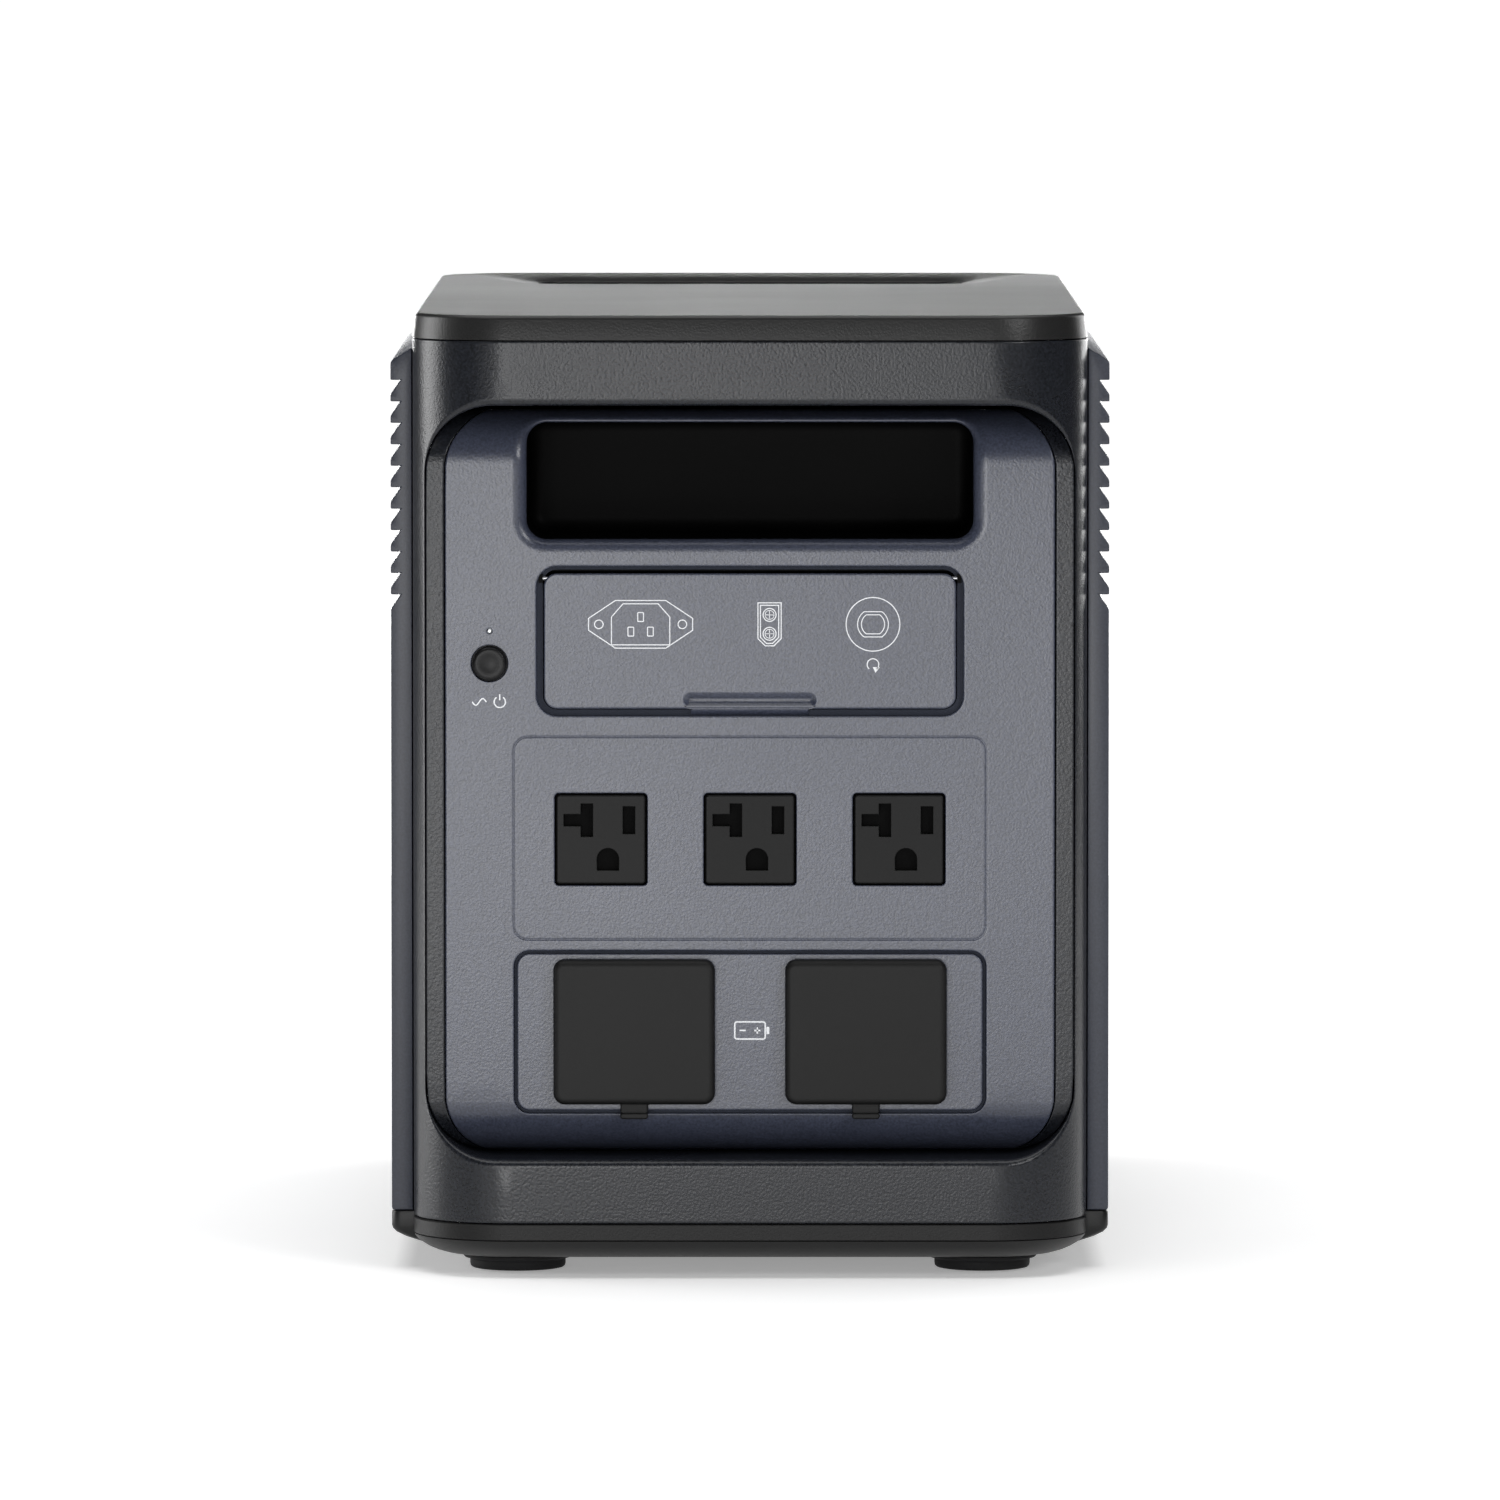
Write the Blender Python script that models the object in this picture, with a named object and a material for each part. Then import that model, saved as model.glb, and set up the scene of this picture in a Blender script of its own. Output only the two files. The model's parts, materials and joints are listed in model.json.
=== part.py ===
"""Portable power station: a box on four feet with ports in the front and the rear.

Frame: metres, +Z up, origin on the floor in the middle of the body, front towards -Y and
+X to the right of someone who faces the front. Each piece is one named object.
"""

import math

import bmesh
import bpy
from mathutils import Matrix, Vector

MM = 0.001
GAP = 0.3 * MM  # clearance between neighbouring pieces
FAR = 400 * MM  # cutters run this far where they only have to pass right through
FRONT, REAR = -1, 1
LEFT, RIGHT = -1, 1
SHARP_ANGLE = math.radians(35)

# Case
BODY_X = 102 * MM  # half width of the frames, the tray's rim and the lid
BODY_Y = 200 * MM  # half depth
CORNER_R = 30 * MM
WALL = 3 * MM
TRAY_LOW = 4.8 * MM
TRAY_HIGH = 16 * MM
LID_LOW = 282.6 * MM
LID_HIGH = 290 * MM
FRAME_DEPTH = 50 * MM  # how far the frames reach along the sides

# Window in each end frame, and the panel that sits in it
WINDOW_X = 98.1 * MM
WINDOW_LOW = 35.5 * MM
WINDOW_HIGH = 262.9 * MM
WINDOW_R = 21 * MM
PANEL_X = 92 * MM
PANEL_LOW = 36.1 * MM
PANEL_HIGH = 260.5 * MM
PANEL_R = 19 * MM
PANEL_DEPTH = 15.5 * MM  # the panel's face is this far behind the end plane
PANEL_T = 3 * MM
ROLL_R = 16 * MM  # radius at which the panel rolls back at its top and bottom

# Side panels
SIDE_X = 108.8 * MM
SIDE_Y = 168 * MM
SIDE_LOW = 17.3 * MM
SIDE_HIGH = 279.2 * MM
SIDE_SHOULDER = 275.3 * MM
LOUVRES = 11
LOUVRE_TOP = 269.4 * MM
LOUVRE_PITCH = 6.5 * MM
LOUVRE_DEEP = 3.1 * MM
LOUVRE_SLANT = 4.3 * MM

# Feet
FOOT_X = 70.5 * MM
FOOT_Y = 167.5 * MM
FOOT_R = 14.5 * MM
FOOT_COLLAR_R = 16.5 * MM

# Hand pockets
POCKET_X = 67.4 * MM
POCKET_LOW = 222 * MM
POCKET_HIGH = 257 * MM
POCKET_R = 6 * MM
POCKET_DEEP = 42 * MM
POCKET_T = 2 * MM
SCOOP_X = 69 * MM
SCOOP_NEAR = 88 * MM  # the hand well in the lid, from here
SCOOP_FAR = 160 * MM  # to here along Y

# Input door in the front panel
DOOR_X = 62.2 * MM
DOOR_LOW = 170.8 * MM
DOOR_HIGH = 211.7 * MM
DOOR_R = 4 * MM
DOOR_T = 3 * MM
DOOR_GROOVE = 2.2 * MM
DOOR_AXIS_Y = -BODY_Y + PANEL_DEPTH + DOOR_T / 2
DOOR_AXIS_Z = DOOR_HIGH - DOOR_T / 2
TAB_X = 17.7 * MM
PIN_R = 0.55 * MM
PIN_HOLE_R = 0.85 * MM
BAY_BACK = 50 * MM  # depth of the bay's back wall
INPUT_Z = 191 * MM
AC_INLET_X = -33.2 * MM
DC_INLET_X = 5.9 * MM
BREAKER_X = 37.2 * MM
BREAKER_TRAVEL = 3 * MM

# Push buttons
AC_BUTTON_XZ = (-78.6 * MM, 184.5 * MM)
AC_BUTTON_R = 5.1 * MM
LED_Z = 194.3 * MM
LED_R = 0.5 * MM
BUTTON_GAP = 0.45 * MM
BUTTON_TRAVEL = 1.2 * MM

# Outlets
OUTLET_XS = (-45 * MM, 0.0, 45 * MM)
OUTLET_Z = 131.3 * MM
OUTLET_HALF = 13.7 * MM
SLOTS_DX = 2.1 * MM  # the slot pattern's centre is off the outlet's
BLADE_DX = 6.35 * MM
BLADE_DZ = 5.8 * MM
GROUND_DZ = -6.3 * MM

# Battery ports
PLATE_X = 71.3 * MM
PLATE_LOW = 48.2 * MM
PLATE_HIGH = 97.6 * MM
PLATE_R = 4.8 * MM
PLATE_GROOVE = 1 * MM
PORT_XS = (-35 * MM, 35 * MM)
PORT_Z = 72 * MM
PORT_HALF = (20 * MM, 15 * MM)
COVER_HALF_X = 24.4 * MM
COVER_LOW = 51.2 * MM
COVER_HIGH = 95.2 * MM
COVER_T = 4.7 * MM
COVER_R = 3.5 * MM
COVER_AXIS_Y = -BODY_Y + PANEL_DEPTH - GAP - COVER_T / 2
COVER_AXIS_Z = COVER_HIGH - COVER_T / 2

# Rear end
LENS_Z = 182 * MM
LENS_HALF = (47.7 * MM, 21.7 * MM)
POWER_BUTTON_XZ = (70 * MM, 194 * MM)
DC_BUTTON_XZ = (70 * MM, 170 * MM)
REAR_PORT_Z = 125 * MM
USB_X = 30 * MM
USB_HALF = (31 * MM, 14 * MM)
SOCKET_X = -38 * MM
SOCKET_R = 10.5 * MM
CAP_R = 15 * MM
CAP_T = 3 * MM

# Fans behind the louvres
FAN_Y = 20 * MM
FAN_Z = 236 * MM
FAN_HALF = 30 * MM
FAN_DUCT_R = 28 * MM
FAN_IN = 79 * MM
FAN_OUT = 99 * MM
FAN_BLADES = 7


# Outlines and solids


def rounded_rect(half_w, half_h, radius, centre=(0.0, 0.0), steps=4):
    """The points of a rounded rectangle, anticlockwise."""
    points = []
    for quarter, (side_u, side_v) in enumerate(((1, 1), (-1, 1), (-1, -1), (1, -1))):
        mid_u = centre[0] + side_u * (half_w - radius)
        mid_v = centre[1] + side_v * (half_h - radius)
        for i in range(steps + 1):
            angle = math.radians(90) * (quarter + i / steps)
            points.append((mid_u + radius * math.cos(angle), mid_v + radius * math.sin(angle)))
    return points


def rect(half_w, half_h, centre=(0.0, 0.0)):
    """The four corners of a rectangle."""
    u, v = centre
    signs = ((1, 1), (-1, 1), (-1, -1), (1, -1))
    return [(u + a * half_w, v + b * half_h) for a, b in signs]


def span(low_u, high_u, low_v, high_v):
    """The four corners of a rectangle between two limits each way."""
    return [(high_u, high_v), (low_u, high_v), (low_u, low_v), (high_u, low_v)]


def circle(radius, centre=(0.0, 0.0), sides=24):
    """The points of a circle."""
    angles = [math.tau * i / sides for i in range(sides)]
    return [(centre[0] + radius * math.cos(a), centre[1] + radius * math.sin(a)) for a in angles]


def arc(centre, radius, start, end, steps):
    """Points along an arc, with its angles in degrees."""
    angles = [math.radians(start + (end - start) * i / steps) for i in range(steps + 1)]
    return [(centre[0] + radius * math.cos(a), centre[1] + radius * math.sin(a)) for a in angles]


def point_at(axis, u, v, along):
    """The 3-D point of an outline's point, at a place along the axis."""
    return {"X": (along, u, v), "Y": (u, along, v), "Z": (u, v, along)}[axis]


def stack(axis, layers):
    """A closed solid through (place, outline) layers whose outlines have equal counts."""
    bm = bmesh.new()
    rings = [[bm.verts.new(point_at(axis, u, v, at)) for u, v in line] for at, line in layers]
    bm.faces.new(rings[0])
    bm.faces.new(rings[-1])
    count = len(rings[0])
    for low, high in zip(rings, rings[1:]):
        for i in range(count):
            j = (i + 1) % count
            bm.faces.new((low[i], low[j], high[j], high[i]))
    bmesh.ops.recalc_face_normals(bm, faces=bm.faces[:])
    return bm


def prism(axis, outline, low, high):
    """An outline extruded along an axis."""
    return stack(axis, [(low, outline), (high, outline)])


def turned(axis, centre, profile, sides=24):
    """A solid of revolution through (place, radius) pairs."""
    return stack(axis, [(at, circle(radius, centre, sides)) for at, radius in profile])


def finish(name, colour, roughness, metallic=0.0):
    """A Principled material."""
    material = bpy.data.materials.new(name)
    material.use_nodes = True
    shader = material.node_tree.nodes["Principled BSDF"]
    shader.inputs["Base Color"].default_value = (*colour, 1.0)
    shader.inputs["Roughness"].default_value = roughness
    shader.inputs["Metallic"].default_value = metallic
    return material


def piece(name, bm, material, pivot=(0.0, 0.0, 0.0)):
    """A named piece, whose origin is its pivot."""
    mesh = bpy.data.meshes.new(name)
    bm.to_mesh(mesh)
    bm.free()
    mesh.transform(Matrix.Translation(-Vector(pivot)))
    mesh.materials.append(material)
    mesh.shade_smooth()
    mesh.set_sharp_from_angle(angle=SHARP_ANGLE)
    made = bpy.data.objects.new(name, mesh)
    made.location = pivot
    bpy.context.scene.collection.objects.link(made)
    return made


def tool(bm):
    """A solid that only shapes another one: hidden from renders and drawn as a wire."""
    mesh = bpy.data.meshes.new("tool")
    bm.to_mesh(mesh)
    bm.free()
    made = bpy.data.objects.new("tool", mesh)
    made.hide_render = True
    made.display_type = "WIRE"
    bpy.context.scene.collection.objects.link(made)
    return made


def combine(target, operation, shaper):
    """Adds a Boolean of the target with a tool, or with the tool made from a solid."""
    modifier = target.modifiers.new(operation.lower(), "BOOLEAN")
    modifier.operation = operation
    modifier.solver = "EXACT"
    modifier.object = tool(shaper) if isinstance(shaper, bmesh.types.BMesh) else shaper
    return target


def cut(target, *shapers):
    """Takes solids out of the target."""
    for shaper in shapers:
        combine(target, "DIFFERENCE", shaper)
    return target


def join(target, *shapers):
    """Adds solids to the target, which must reach into it."""
    for shaper in shapers:
        combine(target, "UNION", shaper)
    return target


def keep(target, shaper):
    """Keeps only what lies inside the solid."""
    return combine(target, "INTERSECT", shaper)


def depth(end, distance):
    """The Y of a plane this far behind the front's or the rear's end plane."""
    return end * (BODY_Y - distance)


def case_outline(inset):
    """The body's outline from above, moved inwards by the inset."""
    return rounded_rect(BODY_X - inset, BODY_Y - inset, CORNER_R - inset, steps=6)


def end_outline(end, inset, back):
    """From above: the rounded end of the body, cut off square at a depth."""
    mid_x = BODY_X - CORNER_R
    mid_y = depth(end, CORNER_R)
    radius = CORNER_R - inset
    right = arc((mid_x, mid_y), radius, 0, 90 * end, 7)
    left = arc((-mid_x, mid_y), radius, 90 * end, 180 * end, 7)
    square_y = depth(end, back)
    return [(BODY_X - inset, square_y), *right, *left, (inset - BODY_X, square_y)]


def between(low, high):
    """The middle and half the distance of two limits."""
    return (low + high) / 2, (high - low) / 2


def window_outline(grow=0.0):
    """The frame's window, seen from its end."""
    middle, half = between(WINDOW_LOW, WINDOW_HIGH)
    return rounded_rect(WINDOW_X + grow, half + grow, WINDOW_R + grow, (0, middle), 6)


def panel_outline(grow=0.0):
    """The panel's outline: its top and bottom run just past the ends of the roll."""
    past = 1 * MM
    middle, half = between(PANEL_LOW - past, PANEL_HIGH + past)
    return rounded_rect(PANEL_X + grow, half + grow, PANEL_R + grow, (0, middle), 6)


def panel_curve(end, inward):
    """The panel's face from the side, bottom to top, moved inwards: (y, z) points."""
    radius = ROLL_R - inward
    back = PANEL_DEPTH + ROLL_R
    low = arc((back, PANEL_LOW + ROLL_R), radius, 270, 180, 5)
    high = arc((back, PANEL_HIGH - ROLL_R), radius, 180, 90, 5)
    return [(depth(end, d), z) for d, z in low + high]


def panel_sheet(end, half_x):
    """The rolled sheet that the panel and the frame's ledge are both cut from."""
    outline = panel_curve(end, 0.0) + panel_curve(end, PANEL_T)[::-1]
    return prism("X", outline, -half_x, half_x)


def before_panel(end):
    """Everything that lies in front of the panel's back, with a gap."""
    curve = panel_curve(end, PANEL_T + GAP)
    low = [(depth(end, -FAR), -FAR), (depth(end, PANEL_DEPTH + ROLL_R + GAP), -FAR)]
    low.append((depth(end, PANEL_DEPTH + ROLL_R + GAP), curve[0][1]))
    high = [(depth(end, PANEL_DEPTH + ROLL_R + GAP), curve[-1][1])]
    high += [(depth(end, PANEL_DEPTH + ROLL_R + GAP), FAR), (depth(end, -FAR), FAR)]
    return prism("X", low + curve + high, -FAR, FAR)


def facing(end, outline, shallow, deep):
    """An outline seen from the end, extruded between two depths."""
    return prism("Y", outline, depth(end, shallow), depth(end, deep))


# Case


def end_frame(name, end, material):
    """A U-shaped shell with a window, a tunnel round it and a ledge beside the panel."""
    frame = piece(
        name,
        prism("Z", end_outline(end, 0.0, FRAME_DEPTH), TRAY_HIGH + GAP, LID_LOW - GAP),
        material,
    )
    inside = tool(prism("Z", end_outline(end, WALL, FRAME_DEPTH + 20 * MM), -FAR, FAR))
    cut(inside, facing(end, window_outline(WALL), WALL / 2, 34 * MM))
    ledge = tool(panel_sheet(end, BODY_X + 10 * MM))
    cut(ledge, facing(end, panel_outline(GAP), -20 * MM, 60 * MM))
    window = tool(facing(end, window_outline(), -10 * MM, FRAME_DEPTH + 10 * MM))
    cut(window, ledge)
    return cut(frame, inside, window)


def end_panel(name, end, material):
    """The recessed face of one end, rolled back at its top and bottom."""
    panel = piece(name, panel_sheet(end, PANEL_X + 5 * MM), material)
    keep(panel, facing(end, panel_outline(), -20 * MM, 60 * MM))
    return cut(panel, through_panel(end, pocket_outline()))


def through_panel(end, outline):
    """A cutter through an end panel."""
    return facing(end, outline, PANEL_DEPTH - 5 * MM, PANEL_DEPTH + 30 * MM)


def pocket_outline(grow=0.0, half_x=POCKET_X):
    """The hand pocket's mouth."""
    middle, half = between(POCKET_LOW, POCKET_HIGH)
    return rounded_rect(half_x + grow, half + grow, POCKET_R + grow, (0, middle), 3)


def side_panel(name, side, material):
    """A louvred plate with a tongue that closes the wall between the two frames' tops.

    The slot at each louvre's root opens to the inside.
    """
    inner = BODY_X + GAP
    outline = [(inner, SIDE_LOW), (SIDE_X, SIDE_LOW)]
    for i in reversed(range(LOUVRES)):
        top = LOUVRE_TOP - i * LOUVRE_PITCH
        outline.append((SIDE_X, top - LOUVRE_SLANT))
        outline.append((SIDE_X - LOUVRE_DEEP, top))
        outline.append((SIDE_X, top))
    outline += [(SIDE_X, SIDE_SHOULDER), (inner, SIDE_HIGH)]
    mirrored = [(side * x, z) for x, z in outline]
    panel = piece(name, prism("Y", mirrored, -SIDE_Y, SIDE_Y), material)
    low, high = SIDE_HIGH - 7 * MM, LID_LOW - GAP
    tongue = [(BODY_X - WALL, low), (inner + 0.7 * MM, low), (inner + 0.7 * MM, SIDE_HIGH - MM),
              (BODY_X, SIDE_HIGH + 0.2 * MM), (BODY_X, high), (BODY_X - WALL, high)]
    reach = BODY_Y - FRAME_DEPTH - GAP
    join(panel, prism("Y", [(side * x, z) for x, z in tongue], -reach, reach))
    slot_half_y = 62 * MM
    slot_half_z = 0.6 * MM
    root = side * (SIDE_X - LOUVRE_DEEP)
    for i in range(LOUVRES):
        z = LOUVRE_TOP - i * LOUVRE_PITCH - slot_half_z - 0.2 * MM
        for y in (-65 * MM, 65 * MM):
            slot = rect(slot_half_y, slot_half_z, (y, z))
            ends = sorted((root - side * 5 * MM, root + side * 1.5 * MM))
            cut(panel, prism("X", slot, *ends))
    return panel


def top_cover(material):
    """The lid: a shallow shell with the hand well's opening near its rear."""
    edge = 0.8 * MM
    layers = [(LID_LOW, case_outline(0)), (LID_HIGH - edge, case_outline(0))]
    layers.append((LID_HIGH, case_outline(edge)))
    cover = piece("top_cover", stack("Z", layers), material)
    cut(cover, prism("Z", case_outline(WALL), LID_LOW - WALL, LID_HIGH - WALL))
    middle, half = between(SCOOP_NEAR, SCOOP_FAR)
    mouth = rounded_rect(SCOOP_X, half, 10 * MM, (0, middle))
    return cut(cover, prism("Z", mouth, LID_LOW - 10 * MM, LID_HIGH + 10 * MM))


def base_tray(material):
    """The tray under the frames, with a swelling on each side that carries a side panel."""
    curve = ((4.8, 12), (6, 7.5), (8.3, 2.6), (10.9, 0), (16, 0))  # height, inset
    layers = [(z * MM, case_outline(inset * MM)) for z, inset in curve]
    tray = piece("base_tray", stack("Z", layers), material)
    for side in (LEFT, RIGHT):
        outline = [(60, 4.8), (87, 4.8), (97, 6), (104.5, 8), (108.8, 10.6), (108.8, 17)]
        outline += [(102.3, 17), (102.3, 15.5), (60, 15.5)]
        swelling = [(side * x * MM, z * MM) for x, z in outline]
        join(tray, prism("Y", swelling, -SIDE_Y, SIDE_Y))
    cut(tray, prism("Z", case_outline(WALL), TRAY_LOW + WALL, TRAY_HIGH + 10 * MM))
    for x, y in foot_places():
        cut(tray, turned("Z", (x, y), [(0, 2.3 * MM), (TRAY_LOW + 2 * WALL, 2.3 * MM)], 16))
    return tray


def foot_places():
    """The feet's middles."""
    return [(sx * FOOT_X, sy * FOOT_Y) for sy in (FRONT, REAR) for sx in (LEFT, RIGHT)]


def feet(rubber, steel):
    """Four feet with a collar, each held by a screw from below."""
    names = ("front_left", "front_right", "rear_left", "rear_right")
    for label, (x, y) in zip(names, foot_places()):
        profile = [(0, FOOT_R - 0.8 * MM), (0.8 * MM, FOOT_R), (2.9 * MM, FOOT_R)]
        profile += [(3.2 * MM, FOOT_COLLAR_R), (TRAY_LOW - GAP, FOOT_COLLAR_R)]
        foot = piece(f"foot_{label}", turned("Z", (x, y), profile), rubber)
        well = [(-MM, 5.2 * MM), (2.2 * MM, 5.2 * MM), (2.2 * MM, 2.3 * MM), (6 * MM, 2.3 * MM)]
        cut(foot, turned("Z", (x, y), well, 16))
        screw = [(0.5 * MM, 4.3 * MM), (1.9 * MM, 4.8 * MM), (1.9 * MM, 2 * MM), (13 * MM, 2 * MM)]
        piece(f"foot_screw_{label}", turned("Z", (x, y), screw, 16), steel)


# Hand grips


def handle_cup(material):
    """The closed hand pocket behind the front panel."""
    start = PANEL_DEPTH + PANEL_T + GAP
    cup = facing(FRONT, pocket_outline(POCKET_T), start, start + POCKET_DEEP)
    cup = piece("front_handle_cup", cup, material)
    cut(cup, facing(FRONT, pocket_outline(), 0.0, start + POCKET_DEEP - POCKET_T))
    return cut(cup, before_panel(FRONT))


def handle_well(material):
    """The hand well: open through the lid and through the rear panel, under the grip bar."""
    top = LID_HIGH - WALL - GAP
    shape = []
    for grow in (POCKET_T, 0.0):
        near, far = SCOOP_NEAR - grow, SCOOP_FAR + grow
        low, high = POCKET_LOW - grow, POCKET_HIGH + grow
        past = 0.0 if grow else 30 * MM
        end_y = depth(REAR, PANEL_DEPTH + PANEL_T + GAP) + past
        line = [(near, low), (end_y, low), (end_y, high), (far, high)]
        line += [(far, top + past), (near, top + past)]
        shape.append(line)
    outer, inner = shape
    well = prism("X", outer, -SCOOP_X - POCKET_T, SCOOP_X + POCKET_T)
    well = piece("rear_handle_well", well, material)
    cut(well, prism("X", inner, -SCOOP_X, SCOOP_X))
    return cut(well, before_panel(REAR))


# Front controls and inputs


def input_door(material, steel):
    """The door over the inputs. It turns about a pin along its round top edge."""
    face_y = depth(FRONT, PANEL_DEPTH)
    pivot = (0.0, DOOR_AXIS_Y, DOOR_AXIS_Z)
    round_top = arc((DOOR_AXIS_Y, DOOR_AXIS_Z), DOOR_T / 2, 180, 0, 8)
    outline = [(face_y + DOOR_T, DOOR_LOW), (face_y, DOOR_LOW), *round_top]
    door = prism("X", outline, -DOOR_X - MM, DOOR_X + MM)
    door = piece("input_door", door, material, pivot)
    middle, half = between(DOOR_LOW - 0.2 * MM, DOOR_HIGH + 0.2 * MM)
    keep(door, prism("Y", rounded_rect(DOOR_X, half, DOOR_R, (0, middle)), -FAR, FAR))
    scoop = rounded_rect(TAB_X + 1.8 * MM, 2.1 * MM, 1.5 * MM, (0, 174.7 * MM), 2)
    cut(door, prism("Y", scoop, face_y - 5 * MM, face_y + 1.4 * MM))
    tab = rounded_rect(TAB_X, 1.9 * MM, 1 * MM, (0, 170.8 * MM), 2)
    join(door, prism("Y", tab, face_y - 1.8 * MM, face_y + 2 * MM))
    cut(door, turned("X", pivot[1:], [(-FAR, PIN_HOLE_R), (FAR, PIN_HOLE_R)], 12))
    pin_x = 63.5 * MM
    piece("input_door_pin", turned("X", pivot[1:], [(-pin_x, PIN_R), (pin_x, PIN_R)], 12), steel)
    return door


def input_bay(material):
    """The tray behind the input door, with ears that hold the door's pin."""
    start = PANEL_DEPTH + PANEL_T + GAP
    low, high = DOOR_LOW - 0.9 * MM, DOOR_HIGH + 0.6 * MM
    middle, half = between(low, high)
    inner_x = DOOR_X + 0.5 * MM
    wall = 1.5 * MM
    bay = facing(FRONT, rect(inner_x + wall, half + wall, (0, middle)), start, BAY_BACK)
    bay = piece("input_bay", bay, material)
    flange = rect(inner_x + 5 * MM, half + 4 * MM, (0, middle))
    join(bay, facing(FRONT, flange, start, start + wall))
    cut(bay, facing(FRONT, rect(inner_x, half, (0, middle)), start - 5 * MM, BAY_BACK - 2 * MM))
    for side in (LEFT, RIGHT):
        ends = sorted((side * (DOOR_X + GAP), side * (DOOR_X + 1.5 * MM)))
        ear_y = depth(FRONT, PANEL_DEPTH + 0.2 * MM)
        ear = span(ear_y, ear_y + 6 * MM, DOOR_AXIS_Z - 1.4 * MM, DOOR_AXIS_Z + 1.2 * MM)
        join(bay, prism("X", ear, *ends))
    axis = (DOOR_AXIS_Y, DOOR_AXIS_Z)
    cut(bay, turned("X", axis, [(-FAR, PIN_HOLE_R), (FAR, PIN_HOLE_R)], 12))
    openings = (
        rounded_rect(14 * MM, 10.3 * MM, 3.3 * MM, (AC_INLET_X, INPUT_Z), 2),
        rect(5.3 * MM, 9 * MM, (DC_INLET_X, INPUT_Z)),
        circle(5.9 * MM, (BREAKER_X, INPUT_Z), 20),
    )
    for outline in openings:
        cut(bay, facing(FRONT, outline, BAY_BACK - 10 * MM, BAY_BACK + 10 * MM))
    return bay


def carrier(name, material, outline, back, pins, reach):
    """A contact block: its base is 4 mm thick and each pin's outline reaches forward."""
    base = facing(FRONT, outline, back - 4 * MM, back)
    block = piece(name, base, material)
    for pin in pins:
        join(block, facing(FRONT, pin, back - 4 * MM - reach, back - 3.5 * MM))
    return block


def inputs(plastic, metal, red):
    """The AC inlet, the DC inlet and the overload breaker in the back of the bay."""
    at = (AC_INLET_X, INPUT_Z)
    front = BAY_BACK - 16 * MM
    inlet = facing(FRONT, rounded_rect(13.7 * MM, 10 * MM, 3 * MM, at, 2), front, 70 * MM)
    inlet = piece("ac_inlet", inlet, plastic)
    stop = BAY_BACK - 2 * MM - GAP
    join(inlet, facing(FRONT, rounded_rect(15.5 * MM, 12 * MM, 3 * MM, at, 2), stop - 2 * MM, stop))
    hollow = rounded_rect(12 * MM, 8.2 * MM, 2.5 * MM, at, 2)
    cut(inlet, facing(FRONT, hollow, front - MM, 71 * MM))
    pins = [rect(1 * MM, 2 * MM, (at[0] + dx * MM, at[1] + dz * MM)) for dx, dz in
            ((0, 2.5), (-7, -2), (7, -2))]
    block = rounded_rect(11.7 * MM, 7.9 * MM, 2.2 * MM, at, 2)
    carrier("ac_inlet_pins", metal, block, 69 * MM, pins, 17 * MM)

    at = (DC_INLET_X, INPUT_Z)
    inlet = piece("dc_inlet", facing(FRONT, rect(5 * MM, 8.7 * MM, at), front, 62 * MM), plastic)
    join(inlet, facing(FRONT, rect(7 * MM, 10.7 * MM, at), stop - 2 * MM, stop))
    cut(inlet, facing(FRONT, rect(4 * MM, 7.7 * MM, at), front - MM, 63 * MM))
    pins = [circle(1.7 * MM, (at[0], at[1] + dz * MM), 10) for dz in (-3.7, 3.7)]
    carrier("dc_inlet_pins", metal, rect(3.7 * MM, 7.4 * MM, at), 61 * MM, pins, 14 * MM)

    at = (BREAKER_X, INPUT_Z)
    tall = BAY_BACK + GAP
    breaker = facing(FRONT, rect(8 * MM, 11 * MM, at), tall, tall + 20 * MM)
    breaker = piece("breaker_body", breaker, plastic)
    bush_front = depth(FRONT, BAY_BACK - 9 * MM)
    bush_back = depth(FRONT, BAY_BACK + 2 * MM)
    join(breaker, turned("Y", at, [(bush_front, 5.6 * MM), (bush_back, 5.6 * MM)], 20))
    bore_back = depth(FRONT, BAY_BACK + 12 * MM)
    cut(breaker, turned("Y", at, [(bush_front - MM, 4.4 * MM), (bore_back, 4.4 * MM)], 20))
    head = bush_front - BREAKER_TRAVEL - 1.2 * MM
    back = bore_back - BREAKER_TRAVEL - 1 * MM
    button = turned("Y", at, [(head, 3.4 * MM), (head + 0.8 * MM, 4.1 * MM), (back, 4.1 * MM)], 20)
    piece("breaker_button", button, red, (at[0], head, at[1]))


def push_button(name, end, place, radius, material):
    """A domed cap with a flange that stops it behind the panel. It presses a switch."""
    face = depth(end, PANEL_DEPTH)
    back = depth(end, PANEL_DEPTH + PANEL_T + GAP)
    profile = [(face - end * -1.9 * MM, radius * 0.55), (face - end * -1.5 * MM, radius * 0.85)]
    profile += [(face - end * -0.8 * MM, radius), (back, radius), (back, radius + 1.3 * MM)]
    profile.append((back - end * MM, radius + 1.3 * MM))
    return piece(name, turned("Y", place, profile, 20), material, (place[0], face, place[1]))


def button_hole(end, place, radius):
    """The hole in a panel that a push button works in."""
    return through_panel(end, circle(radius + BUTTON_GAP, place, 20))


def switch_board(name, end, half, middle, switches, material):
    """A board behind the panel with a switch under each button."""
    front = PANEL_DEPTH + PANEL_T + GAP + 1 * MM + BUTTON_TRAVEL + GAP
    board = facing(end, rect(*half, middle), front + 3 * MM, front + 4.6 * MM)
    board = piece(name, board, material)
    for place in switches:
        join(board, facing(end, rect(3 * MM, 3 * MM, place), front, front + 3.5 * MM))
    return board


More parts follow.
